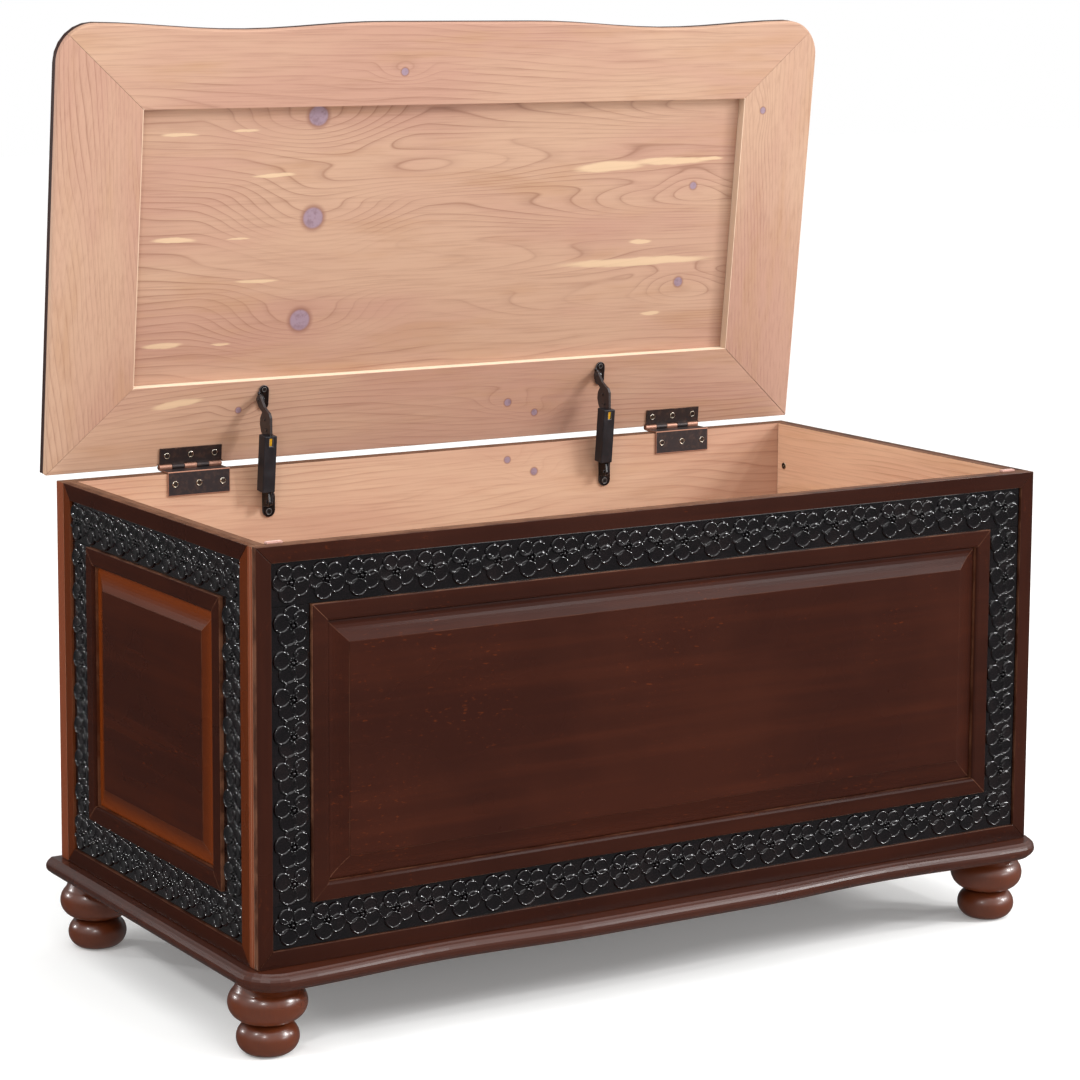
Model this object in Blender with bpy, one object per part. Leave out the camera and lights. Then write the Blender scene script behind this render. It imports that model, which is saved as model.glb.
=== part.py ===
"""A cedar-lined wooden chest on bun feet, with its lid standing open on two hinges and two lid stays.

Metres. X runs along the front, Y to the back and Z up from the floor. The origin is on the floor,
at the middle of the box. Faces that touch on the real chest are GAP apart here.
"""

import math

import bmesh
import bpy
from mathutils import Matrix, Vector

# Box
WIDTH = 1.000
DEPTH = 0.494
HEIGHT = 0.4335
WALL = 0.018
FACE = 0.008  # thickness of the decorated layer on the front and sides
GAP = 0.0003
FLOOR_BOARD = 0.010

# Decorated faces, measured inwards from the face's edge
FRAME_WIDTH = 0.0175
STRIP_WIDTH = 0.045
STRIP_RECESS = 0.0015
MOULDING_WIDTH = 0.019
MOULDING_PROUD = 0.0015
# The moulding's section, as (inset, height above the frame's face): flat, then rounded down to the panel
MOULDING_SECTION = (
    (0, -FACE),
    (0, MOULDING_PROUD - 0.0008),
    (0.0008, MOULDING_PROUD),
    (MOULDING_WIDTH - 0.0035, MOULDING_PROUD),
    (MOULDING_WIDTH - 0.0014, MOULDING_PROUD - 0.0006),
    (MOULDING_WIDTH - 0.0004, MOULDING_PROUD - 0.0020),
    (MOULDING_WIDTH, MOULDING_PROUD - 0.0040),
    (MOULDING_WIDTH, -FACE),
)
CORNERS = ((-1, -1), (1, -1), (1, 1), (-1, 1))
PANEL_BEVEL = 0.023
PANEL_LIP = 0.0022
PANEL_EDGE = -0.0045  # height of the raised panel's edge and of its field above the frame's face
PANEL_FIELD = 0.0010
PANEL_STEP = 0.0008  # small step from the bevel up to the field
PANEL_ARC = 1.25  # angle in radians that the hollow bevel turns through
PANEL_ARC_FLATTEN = 0.78
ARRIS = 0.0006  # chamfer on a sharp edge
BAR_ROUND = 0.0005
BACK_ROUND = 0.0006

# Base and feet
BASE_THICK = 0.019
BASE_SIDE = 0.016
BASE_FRONT = 0.025
BASE_BACK = 0.008
BASE_CORNER = 0.040
BASE_QUIRK = 0.0008
NOSE_ARC = 66  # degrees above and below the bullnose's middle
NOSE_STEPS = 8
FOOT_HEIGHT = 0.079
FOOT_X = 0.472
FOOT_Y = 0.213
FOOT_SOLE = 0.0165
FOOT_NECK = 0.0330
# Each bun of a foot: radius of its arc's centre, bulge, height of its middle, half height, first and last
# degree of the arc, and steps
FOOT_BUNS = (
    (0.0145, 0.0183, 0.0175, 0.0178, -62, 66, 6),
    (0.0185, 0.0230, 0.0545, 0.0205, -68, 45, 7),
)

# Lid, in its closed place: distances run from the hinge axis to the front
LID_ANGLE = math.radians(83.6)
LID_LENGTH = 0.508
LID_HALF = 0.511
LID_CORNER = 0.044
LID_BACK_EDGE = 0.0015
LID_RAIL = 0.014
LID_TOP = 0.006
LID_EDGE_ROUND = 0.0022
LID_PANEL = 0.0027
# The top board's edge: (inset, height) pairs from its underside up to its flat top
LID_TOP_EDGE = (
    (0.0, 0.0),
    (0.0, 0.0020),
    (0.0012, 0.0026),
    (0.0028, 0.0030),
    (0.0046, 0.0036),
    (0.0066, 0.0046),
    (0.0086, 0.0056),
    (0.0106, LID_TOP),
)
RECESS_HALF = 0.407
RECESS_NEAR = 0.095
RECESS_FAR = 0.4123
AXIS_BEHIND = 0.005  # hinge axis behind the back and above the rim
AXIS_ABOVE = 0.004

# Wave of the front edges of lid and base: two shallow hollows between corners and centre
WAVE_DEPTH_LID = 0.008
WAVE_DEPTH_BASE = 0.010
WAVE_CENTRE = 0.288
WAVE_HALF = 0.185

# Hinges
HINGE_X = (-0.333, 0.333)
HINGE_LENGTH = 0.078
LEAF = 0.0015
LID_LEAF = 0.0225
BOX_LEAF = 0.026
KNUCKLE = 0.0034
PIN = 0.0017
PIN_PLAY = 0.00012
PIN_END = 0.0012
KNUCKLE_CLEAR = 0.0008
KNUCKLES = 5
KNUCKLE_SIDES = 20
PIN_SIDES = 16

# Lid stays: each X is the middle of the link's plate, and pivots are (back, up) from the hinge axis
STAY_X = (-0.2525, 0.2100)
PIVOT_BOX = (-0.035, -0.044)
PIVOT_ELBOW = (-0.042, 0.026)
PIVOT_LID = (-0.018, 0.073)
HOUSING_SIDES = (-0.0095, 0.0065)
HOUSING_DEPTH = 0.0155
HOUSING_START = 0.0125  # along the arm from its lower pivot
HOUSING_LENGTH = 0.0665
SLOT_DEPTH = 0.0330
FRONT_WALL = 0.0018
LINK_THICK = 0.0030
LINK_PLAY = 0.0005
EAR_THICK = 0.0022
RIVET = 0.0019
TONGUE_THICK = 0.0030
HOUSING_ROUND = 0.0009
WINDOW_SIDES = (-0.0034, 0.0012)
WINDOW_BELOW_TOP = (0.0120, 0.0024)
WINDOW_DEPTH = 0.0012
LINK_HEAD = (0.0028, 0.0012)  # radius, and height above the plate
BOX_PLATE = (0.0159, 0.0320, 0.0020)
LID_PLATE = (0.0124, 0.0288, 0.0020)

BASE_TOP = FOOT_HEIGHT + BASE_THICK
RIM = BASE_TOP + HEIGHT
AXIS_Y = DEPTH / 2 + AXIS_BEHIND
AXIS_Z = RIM + AXIS_ABOVE
BACK_INSIDE = DEPTH / 2 - WALL
CORNER_STEPS = 6
CURVE_STEPS = 8
WAVE_STEPS = 30
FOOT_SIDES = 24

for old in list(bpy.data.objects):
    bpy.data.objects.remove(old, do_unlink=True)


def make_material(name, colour, roughness, metallic=0.0):
    material = bpy.data.materials.new(name)
    material.use_nodes = True
    shader = material.node_tree.nodes["Principled BSDF"]
    shader.inputs["Base Color"].default_value = (*colour, 1.0)
    shader.inputs["Roughness"].default_value = roughness
    shader.inputs["Metallic"].default_value = metallic
    material.diffuse_color = (*colour, 1.0)
    return material


STAINED = make_material("stained_wood", (0.085, 0.026, 0.012), 0.30)
CARVED = make_material("dark_carving", (0.012, 0.009, 0.012), 0.25)
CEDAR = make_material("cedar", (0.60, 0.36, 0.24), 0.45)
BRONZE = make_material("dark_bronze", (0.045, 0.036, 0.036), 0.35, 0.9)
BLACK = make_material("black_steel", (0.018, 0.017, 0.018), 0.30, 0.6)


# Mesh helpers


def make_object(name, bm, material=None, parent=None, smooth=False):
    """The node, or with no material a hidden helper for a Boolean."""
    bmesh.ops.remove_doubles(bm, verts=bm.verts, dist=1e-7)
    bmesh.ops.recalc_face_normals(bm, faces=bm.faces)
    mesh = bpy.data.meshes.new(name)
    bm.to_mesh(mesh)
    bm.free()
    made = bpy.data.objects.new(name, mesh)
    bpy.context.scene.collection.objects.link(made)
    made.parent = parent
    if material is None:
        made.hide_render = True
        made.display_type = "WIRE"
    else:
        mesh.materials.append(material)
    if smooth:
        mesh.shade_smooth()
        mesh.set_sharp_from_angle(angle=math.radians(35))
    return made


def make_empty(name, matrix, parent=None):
    empty = bpy.data.objects.new(name, None)
    bpy.context.scene.collection.objects.link(empty)
    empty.parent = parent
    empty.matrix_local = matrix
    return empty


def soften(made, width, segments):
    """Rounds every sharp edge a little."""
    bevel = made.modifiers.new("soft_edges", "BEVEL")
    bevel.width = width
    bevel.segments = segments
    bevel.limit_method = "ANGLE"
    bevel.angle_limit = math.radians(40)
    bevel.harden_normals = True
    made.data.shade_smooth()


def boolean(made, other, operation):
    modifier = made.modifiers.new(operation.lower(), "BOOLEAN")
    modifier.object = other
    modifier.operation = operation
    modifier.solver = "EXACT"


def skin(bm, loops):
    """Closes a stack of equal loops of points into one body, with a face over each end."""
    rings = [[bm.verts.new(point) for point in loop] for loop in loops]
    for lower, upper in zip(rings, rings[1:]):
        for i in range(len(lower)):
            j = (i + 1) % len(lower)
            bm.faces.new((lower[i], lower[j], upper[j], upper[i]))
    bm.faces.new(reversed(rings[0]))
    bm.faces.new(rings[-1])


def box_mesh(low, high):
    bm = bmesh.new()
    corners = [(low[0], low[1]), (high[0], low[1]), (high[0], high[1]), (low[0], high[1])]
    skin(bm, [[(x, y, z) for x, y in corners] for z in (low[2], high[2])])
    return bm


def circle_points(radius, sides, height=0.0):
    angles = [math.tau * i / sides for i in range(sides)]
    return [Vector((radius * math.cos(a), radius * math.sin(a), height)) for a in angles]


def rod_mesh(start, end, radius, sides=PIN_SIDES):
    """A cylinder between two points."""
    bm = bmesh.new()
    start, end = Vector(start), Vector(end)
    turn = (end - start).to_track_quat("Z", "Y")
    circle = [turn @ point for point in circle_points(radius, sides)]
    skin(bm, [[centre + point for point in circle] for centre in (start, end)])
    return bm


def plate_mesh(outline, low, high, axis="X"):
    """A flat plate: an outline of the other two coordinates, carried along one axis."""
    bm = bmesh.new()
    place = {
        "X": lambda a, b, at: (at, a, b),
        "Y": lambda a, b, at: (a, at, b),
        "Z": lambda a, b, at: (a, b, at),
    }[axis]
    skin(bm, [[place(a, b, at) for a, b in outline] for at in (low, high)])
    return bm


def arc(centre, radius, start, end):
    """Points of an arc between two angles in degrees."""
    points = []
    for i in range(CURVE_STEPS + 1):
        a = math.radians(start + (end - start) * i / CURVE_STEPS)
        points.append((centre[0] + radius * math.cos(a), centre[1] + radius * math.sin(a)))
    return points


def capsule(start, end, start_radius, end_radius):
    """Outline of a plate with round ends about two points."""
    along = math.degrees(math.atan2(end[1] - start[1], end[0] - start[0]))
    return arc(start, start_radius, along + 90, along + 270) + arc(end, end_radius, along - 90, along + 90)


# Outlines with a waved front edge


def wave(x):
    """1 at the bottom of a hollow in the front edge, 0 at the corners and the centre."""
    away = abs(abs(x) - WAVE_CENTRE) / WAVE_HALF
    return 0.5 * (1 + math.cos(math.pi * away)) if away < 1 else 0.0


def front_corner(half, front, radius, start=180, end=270):
    """Left corner of an edge from one angle to another: 180 faces left and 270 faces the front."""
    chain = []
    for i in range(CORNER_STEPS + 1):
        a = math.radians(start + (end - start) * i / CORNER_STEPS)
        out = Vector((math.cos(a), math.sin(a)))
        chain.append((Vector((-half + radius, -front + radius)) + radius * out, out))
    return chain


def front_run(half, front, radius, depth):
    """Waved front edge between its two rounded corners."""
    chain = []
    straight = half - radius
    for i in range(1, WAVE_STEPS):
        x = -straight + 2 * straight * i / WAVE_STEPS
        slope = depth * (wave(x + 0.001) - wave(x - 0.001)) / 0.002
        chain.append((Vector((x, -front + depth * wave(x))), Vector((slope, -1)).normalized()))
    return chain


def mirrored(chain):
    flip = Vector((-1, 1))
    return [(point * flip, out * flip) for point, out in reversed(chain)]


def edge_chain(half, front, back, radius, depth):
    """(point, outward normal) from the back left corner, round the front, to the back right corner."""
    left = [(Vector((-half, back)), Vector((-1, 0)))] + front_corner(half, front, radius)
    return left + front_run(half, front, radius, depth) + mirrored(left)


def moulded_plate(name, chain, layers, material, parent, inner=()):
    """A plate whose edge follows the chain, set in by each (inset, height) layer in turn."""
    bm = bmesh.new()
    loops = []
    for inset, height in layers:
        edge = [point - inset * out for point, out in chain]
        loops.append([(p.x, p.y, height) for p in edge + list(inner)])
    skin(bm, loops)
    return make_object(name, bm, material, parent, smooth=True)


# Box


def face_empty(name, centre, across, outward):
    """A frame for a decorated face: X across it, Y up, Z out of it."""
    across, outward = Vector(across), Vector(outward)
    turn = Matrix((across, (0, 0, 1), outward)).transposed().to_4x4()
    return make_empty(name, Matrix.Translation(centre) @ turn)


def mitred_bars(half, rise, width):
    """(side, outline) of the four bars of a mitred frame, GAP apart at the mitres."""
    cut = GAP / math.sqrt(2)
    bottom = [
        (-half + cut, -rise),
        (half - cut, -rise),
        (half - width - cut, -rise + width),
        (-half + width + cut, -rise + width),
    ]
    left = [
        (-half, -rise + cut),
        (-half + width, -rise + width + cut),
        (-half + width, rise - width - cut),
        (-half, rise - cut),
    ]
    return (
        ("bottom_rail", bottom),
        ("top_rail", [(x, -y) for x, y in bottom]),
        ("left_stile", left),
        ("right_stile", [(-x, y) for x, y in left]),
    )


def framed_face(prefix, half, parent):
    """Outer frame, four carved strips, moulding and raised panel of one decorated face."""
    rise = (HEIGHT - GAP) / 2
    for part, outline in mitred_bars(half, rise, FRAME_WIDTH):
        bar = make_object(
            f"{prefix}_{part}", plate_mesh(outline, -FACE, 0, "Z"), STAINED, parent
        )
        soften(bar, BAR_ROUND, 2)

    # Horizontal strips run the whole length; the upright ones stand between them.
    outer, inner = FRAME_WIDTH + GAP, FRAME_WIDTH + STRIP_WIDTH
    strips = {
        "carved_strip_bottom": (-half + outer, -rise + outer, half - outer, -rise + inner),
        "carved_strip_top": (-half + outer, rise - inner, half - outer, rise - outer),
        "carved_strip_left": (-half + outer, -rise + inner + GAP, -half + inner, rise - inner - GAP),
        "carved_strip_right": (half - inner, -rise + inner + GAP, half - outer, rise - inner - GAP),
    }
    for part, (x0, y0, x1, y1) in strips.items():
        bm = box_mesh((x0, y0, -FACE), (x1, y1, -STRIP_RECESS))
        make_object(f"{prefix}_{part}", bm, CARVED, parent)

    start = inner + GAP
    panel_moulding(f"{prefix}_panel_moulding", half - start, rise - start, parent)
    start += MOULDING_WIDTH + GAP
    raised_panel(f"{prefix}_raised_panel", half - start, rise - start, parent)


def panel_moulding(name, half, rise, parent):
    """The frame round the raised panel: its section swept round, mitred at the corners."""
    bm = bmesh.new()
    turns = []
    for sx, sy in CORNERS:
        turns.append([bm.verts.new((sx * (half - w), sy * (rise - w), z)) for w, z in MOULDING_SECTION])
    for here, there in zip(turns, turns[1:] + turns[:1]):
        for i in range(len(MOULDING_SECTION)):
            j = (i + 1) % len(MOULDING_SECTION)
            bm.faces.new((here[i], here[j], there[j], there[i]))
    make_object(name, bm, STAINED, parent)


def raised_panel(name, half, rise, parent):
    """A panel with a flat lip and a hollow bevel up to its field."""
    steps = [(0, -FACE), (0, PANEL_EDGE - ARRIS), (ARRIS, PANEL_EDGE), (PANEL_LIP, PANEL_EDGE + 0.0002)]
    for i in range(1, CORNER_STEPS):
        t = i / CORNER_STEPS
        rise_share = (1 - math.cos(t * PANEL_ARC)) / PANEL_ARC_FLATTEN
        inset = PANEL_LIP + (PANEL_BEVEL - PANEL_LIP) * t
        steps.append((inset, PANEL_EDGE + (PANEL_FIELD - PANEL_EDGE) * rise_share))
    steps += [(PANEL_BEVEL, PANEL_FIELD - PANEL_STEP), (PANEL_BEVEL + ARRIS, PANEL_FIELD)]
    bm = bmesh.new()
    skin(bm, [[(sx * (half - w), sy * (rise - w), z) for sx, sy in CORNERS] for w, z in steps])
    make_object(name, bm, STAINED, parent)


def box_walls():
    middle = BASE_TOP + (HEIGHT + GAP) / 2
    side_half = DEPTH / 2 - WALL - GAP
    front = face_empty("front_face", (0, -DEPTH / 2, middle), (1, 0, 0), (0, -1, 0))
    left = face_empty("left_face", (-WIDTH / 2, 0, middle), (0, -1, 0), (-1, 0, 0))
    right = face_empty("right_face", (WIDTH / 2, 0, middle), (0, 1, 0), (1, 0, 0))
    rise = (HEIGHT - GAP) / 2
    for prefix, half, parent in (
        ("front", WIDTH / 2, front),
        ("left", side_half, left),
        ("right", side_half, right),
    ):
        lining = box_mesh((-half, -rise, -WALL), (half, rise, -FACE - GAP))
        soften(make_object(f"{prefix}_wall_board", lining, CEDAR, parent), BAR_ROUND, 1)
        framed_face(prefix, half, parent)
    back = box_mesh(
        (-WIDTH / 2, BACK_INSIDE, BASE_TOP + GAP), (WIDTH / 2, DEPTH / 2, RIM)
    )
    soften(make_object("back_board", back, STAINED), BACK_ROUND, 1)
    inside = WIDTH / 2 - WALL - GAP
    floor = box_mesh(
        (-inside, -side_half, BASE_TOP + GAP), (inside, side_half, BASE_TOP + FLOOR_BOARD)
    )
    make_object("bottom_board", floor, CEDAR)


def base_and_feet():
    chain = edge_chain(
        WIDTH / 2 + BASE_SIDE,
        DEPTH / 2 + BASE_FRONT,
        DEPTH / 2 + BASE_BACK,
        BASE_CORNER,
        WAVE_DEPTH_BASE,
    )
    # A bullnose with a small quirk at its top edge.
    nose = BASE_THICK / 2 - BASE_QUIRK
    layers = [(nose * 0.75, FOOT_HEIGHT)]
    for i in range(NOSE_STEPS + 1):
        a = math.radians(NOSE_ARC * (2 * i / NOSE_STEPS - 1))
        layers.append((nose * (1 - math.cos(a)), FOOT_HEIGHT + BASE_QUIRK + nose * (1 + math.sin(a))))
    layers.append((nose * 0.60 + 2 * BASE_QUIRK, BASE_TOP))
    moulded_plate("base_board", chain, layers, STAINED, None)
    profile = foot_profile()
    for name, x, y in (
        ("foot_front_left", -FOOT_X, -FOOT_Y),
        ("foot_front_right", FOOT_X, -FOOT_Y),
        ("foot_back_left", -FOOT_X, FOOT_Y),
        ("foot_back_right", FOOT_X, FOOT_Y),
    ):
        bm = bmesh.new()
        skin(bm, [circle_points(radius, FOOT_SIDES, height) for radius, height in profile])
        foot = make_object(name, bm, STAINED, smooth=True)
        foot.location = (x, y, 0)


def foot_profile():
    """(radius, height) of a bun foot: a smaller bun below a larger one."""
    profile = [(FOOT_SOLE, 0.0)]
    for centre, bulge, middle, half_height, first, last, steps in FOOT_BUNS:
        for i in range(steps + 1):
            a = math.radians(first + (last - first) * i / steps)
            profile.append((centre + bulge * math.cos(a), middle + half_height * math.sin(a)))
    return profile + [(FOOT_NECK, FOOT_HEIGHT - 0.0040), (FOOT_NECK - 0.0030, FOOT_HEIGHT - GAP)]


# Lid


def lid_parts(parent):
    """The lid in its own frame: the hinge axis is X, the lid runs to -Y, and its underside is Z = 0."""
    chain = edge_chain(LID_HALF, LID_LENGTH, -LID_BACK_EDGE, LID_CORNER, WAVE_DEPTH_LID)
    under = [(LID_EDGE_ROUND, 0), (LID_EDGE_ROUND * 0.30, LID_EDGE_ROUND * 0.30), (0, LID_EDGE_ROUND)]
    rail_layers = under + [(0, LID_RAIL)]
    cut = GAP / math.sqrt(2)
    mitre_gap = math.degrees(GAP / 2 / LID_CORNER)
    far, near = -RECESS_FAR, -RECESS_NEAR

    corner = front_corner(LID_HALF, LID_LENGTH, LID_CORNER, 225 + mitre_gap, 270)
    run = front_run(LID_HALF, LID_LENGTH, LID_CORNER, WAVE_DEPTH_LID)
    inner = [Vector((RECESS_HALF - cut, far)), Vector((-RECESS_HALF + cut, far))]
    front_edge = corner + run + mirrored(corner)
    moulded_plate("lid_rail_front", front_edge, rail_layers, CEDAR, parent, inner)

    # The back mitre isn't square, so the edge's first point moves in along the mitre.
    mitre = Vector((-1, (RECESS_NEAR - LID_BACK_EDGE) / (LID_HALF - RECESS_HALF)))
    start = (Vector((-LID_HALF, -LID_BACK_EDGE - 2 * cut)), mitre)
    left_edge = [start] + front_corner(LID_HALF, LID_LENGTH, LID_CORNER, 180, 225 - mitre_gap)
    left_inner = [Vector((-RECESS_HALF, far + cut)), Vector((-RECESS_HALF, near - cut))]
    moulded_plate("lid_rail_left", left_edge, rail_layers, CEDAR, parent, left_inner)
    right_inner = [point * Vector((-1, 1)) for point in reversed(left_inner)]
    moulded_plate("lid_rail_right", mirrored(left_edge), rail_layers, CEDAR, parent, right_inner)

    back = [
        (-LID_HALF + cut, -LID_BACK_EDGE),
        (-RECESS_HALF + cut, near),
        (RECESS_HALF - cut, near),
        (LID_HALF - cut, -LID_BACK_EDGE),
    ]
    rail = make_object("lid_rail_back", plate_mesh(back, 0, LID_RAIL, "Z"), CEDAR, parent)
    soften(rail, BAR_ROUND, 1)
    for x in HINGE_X:
        half = HINGE_LENGTH / 2 + 2 * PIN_END
        notch = rod_mesh((x - half, 0, 0), (x + half, 0, 0), KNUCKLE + KNUCKLE_CLEAR, KNUCKLE_SIDES)
        boolean(rail, make_object(f"lid_rail_back_notch_{x:+.3f}", notch, None, parent), "DIFFERENCE")

    panel = box_mesh(
        (-RECESS_HALF + GAP, far + GAP, LID_RAIL - LID_PANEL), (RECESS_HALF - GAP, near - GAP, LID_RAIL)
    )
    make_object("lid_cedar_panel", panel, CEDAR, parent)

    top = LID_RAIL + GAP
    layers = [(inset, top + height) for inset, height in LID_TOP_EDGE]
    moulded_plate("lid_top_board", chain, layers, STAINED, parent)


# Hinges: in the lid's frame for the lid's half, and in the box's frame for the rest


def knuckle_spans(x, owner):
    """(low, high) along X of the knuckles that belong to the box leaf (0) or the lid leaf (1)."""
    pitch = HINGE_LENGTH / KNUCKLES
    start = x - HINGE_LENGTH / 2
    for i in range(KNUCKLES):
        if i % 2 == owner:
            low = start + i * pitch + (GAP if i else 0)
            yield low, start + (i + 1) * pitch - (GAP if i < KNUCKLES - 1 else 0)


def hinge_leaf(name, x, owner, outline, tail, parent):
    """A leaf with its knuckles about the frame's X axis. tail joins each knuckle to the plate."""
    half = HINGE_LENGTH / 2
    leaf = make_object(name, plate_mesh(outline, x - half, x + half), BRONZE, parent)
    for i, (low, high) in enumerate(knuckle_spans(x, owner)):
        curl = make_object(
            f"{name}_knuckle_{i}", rod_mesh((low, 0, 0), (high, 0, 0), KNUCKLE, KNUCKLE_SIDES), None, parent
        )
        boolean(leaf, curl, "UNION")
        joint = make_object(f"{name}_tail_{i}", plate_mesh(tail, low, high), None, parent)
        boolean(leaf, joint, "UNION")
    bore = rod_mesh((x - HINGE_LENGTH, 0, 0), (x + HINGE_LENGTH, 0, 0), PIN + PIN_PLAY)
    boolean(leaf, make_object(f"{name}_bore", bore, None, parent), "DIFFERENCE")


def hinges(axis, lid_axis):
    clear = KNUCKLE + KNUCKLE_CLEAR
    for side, x in zip(("left", "right"), HINGE_X):
        # Lid leaf, flat against the underside.
        low, high = -GAP - LEAF, -GAP
        plate = [(-LID_LEAF, low), (-clear, low), (-clear, high), (-LID_LEAF, high)]
        root = -clear - 0.001
        tail = [(root, low), (0, low - ARRIS), (0, high), (root, high)]
        hinge_leaf(f"hinge_{side}_lid_leaf", x, 1, plate, tail, lid_axis)

        # Box leaf, cranked over the rim and down inside the back.
        shelf = -AXIS_ABOVE + GAP
        inside = BACK_INSIDE - AXIS_Y - GAP
        bottom = -AXIS_ABOVE - BOX_LEAF
        crank = [
            (-clear, shelf),
            (-clear, shelf + LEAF),
            (inside - LEAF + ARRIS, shelf + LEAF),
            (inside - LEAF, shelf + LEAF - ARRIS),
            (inside - LEAF, bottom),
            (inside, bottom),
            (inside, shelf),
        ]
        tail = [(root, shelf), (0, -KNUCKLE + 0.0002), (0, shelf + LEAF), (root, shelf + LEAF)]
        hinge_leaf(f"hinge_{side}_box_leaf", x, 0, crank, tail, axis)
        half = HINGE_LENGTH / 2 + PIN_END
        pin = rod_mesh((x - half, 0, 0), (x + half, 0, 0), PIN)
        make_object(f"hinge_{side}_pin", pin, BRONZE, axis, smooth=True)


# Lid stays


def lid_stay(side, x, axis, lid_axis):
    name = f"stay_{side}"
    box_pivot, elbow, lid_pivot = Vector(PIVOT_BOX), Vector(PIVOT_ELBOW), Vector(PIVOT_LID)
    box_bracket(name, x, box_pivot, axis)
    housing(name, x, box_pivot, elbow, axis)
    link(name, x, elbow, lid_pivot, axis)
    lid_bracket(name, x, lid_pivot, lid_axis)


def box_bracket(name, x, pivot, axis):
    """A round-ended plate on the back board, with an ear along its left edge and the pivot pin."""
    wall = BACK_INSIDE - AXIS_Y - GAP
    ear = [(wall, pivot.y + 0.0105), (wall, pivot.y - 0.0070)]
    ear += arc(pivot, 0.0060, 270, 180)
    ear += [(pivot.x - 0.0045, pivot.y + 0.0095), (pivot.x - 0.0020, pivot.y + 0.0105)]
    bracket = make_object(f"{name}_box_bracket", plate_mesh(ear, x, x + EAR_THICK), BLACK, axis)
    across, tall, thick = BOX_PLATE
    top = pivot.y + 0.0120
    low, high = (x + across / 2, top - tall + across / 2), (x + across / 2, top - across / 2)
    plate = plate_mesh(capsule(low, high, across / 2, across / 2), wall - thick, wall, "Y")
    boolean(bracket, make_object(f"{name}_box_plate", plate, None, axis), "UNION")
    pin = rod_mesh((x - 0.0012, *pivot), (x + 0.0064, *pivot), RIVET)
    boolean(bracket, make_object(f"{name}_box_pin", pin, None, axis), "UNION")


def housing(name, x, pivot, elbow, axis):
    """The arm: a spring housing, slotted for the link, on a tongue that turns on the lower pin."""
    reach = elbow - pivot
    turn = Matrix.Rotation(math.atan2(-reach.x, reach.y), 4, "X")
    arm = make_empty(f"{name}_arm_axis", Matrix.Translation((x, *pivot)) @ turn, axis)
    left, right = HOUSING_SIDES
    depth = HOUSING_DEPTH / 2
    top = HOUSING_START + HOUSING_LENGTH
    body = make_object(
        f"{name}_housing", box_mesh((left, -depth, HOUSING_START), (right, depth, top)), BLACK, arm
    )
    soften(body, HOUSING_ROUND, 2)
    tongue_low = EAR_THICK + 0.0004
    tongue_high = tongue_low + TONGUE_THICK
    tongue = plate_mesh(
        capsule((0, 0), (0, HOUSING_START + 0.004), 0.0050, 0.0058), tongue_low, tongue_high
    )
    boolean(body, make_object(f"{name}_tongue", tongue, None, arm), "UNION")
    hole = rod_mesh((tongue_low - 0.001, 0, 0), (tongue_high + 0.001, 0, 0), RIVET + PIN_PLAY)
    boolean(body, make_object(f"{name}_tongue_hole", hole, None, arm), "DIFFERENCE")
    half = LINK_THICK / 2 + LINK_PLAY
    slot = box_mesh((-half, FRONT_WALL - depth, top - SLOT_DEPTH), (half, depth + 0.002, top + 0.002))
    boolean(body, make_object(f"{name}_slot", slot, None, arm), "DIFFERENCE")
    pin = rod_mesh((-half - 0.0006, 0, reach.length), (half + 0.0006, 0, reach.length), RIVET)
    boolean(body, make_object(f"{name}_elbow_pin", pin, None, arm), "UNION")
    window_left, window_right = WINDOW_SIDES
    below, above = WINDOW_BELOW_TOP
    window = box_mesh(
        (window_left, -depth - 0.001, top - below), (window_right, -depth + WINDOW_DEPTH, top - above)
    )
    boolean(body, make_object(f"{name}_window", window, None, arm), "DIFFERENCE")


def link(name, x, elbow, lid_pivot, axis):
    reach = lid_pivot - elbow
    turn = Matrix.Rotation(math.atan2(-reach.x, reach.y), 4, "X")
    pivot = make_empty(f"{name}_link_axis", Matrix.Translation((x, *elbow)) @ turn, axis)
    half = LINK_THICK / 2
    plate = make_object(f"{name}_link", plate_mesh(link_outline(reach.length), -half, half), BLACK, pivot)
    eye = rod_mesh((-2 * half, 0, 0), (2 * half, 0, 0), RIVET + PIN_PLAY)
    boolean(plate, make_object(f"{name}_link_eye", eye, None, pivot), "DIFFERENCE")
    head_radius, head_height = LINK_HEAD
    head = rod_mesh((-half - head_height, 0, reach.length), (0, 0, reach.length), head_radius)
    boolean(plate, make_object(f"{name}_link_head", head, None, pivot), "UNION")


def link_outline(span):
    """(back, up) from the elbow: a foot about the elbow, a wide belly, a neck and an eye at the top."""
    outline = arc((0, 0), 0.0050, 350, 200)
    outline += [(-0.0102, 0.0064), (-0.0148, 0.0160), (-0.0182, 0.0230), (-0.0178, 0.0290), (-0.0135, 0.0340)]
    outline += [(-0.0094, 0.0400)]
    outline += arc((-0.0010, span - 0.0008), 0.0055, 185, -5)
    outline += [(0.0012, 0.0420), (-0.0022, 0.0362), (0.0050, 0.0325), (0.0094, 0.0262)]
    outline += [(0.0104, 0.0180), (0.0090, 0.0080)]
    return outline


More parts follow.
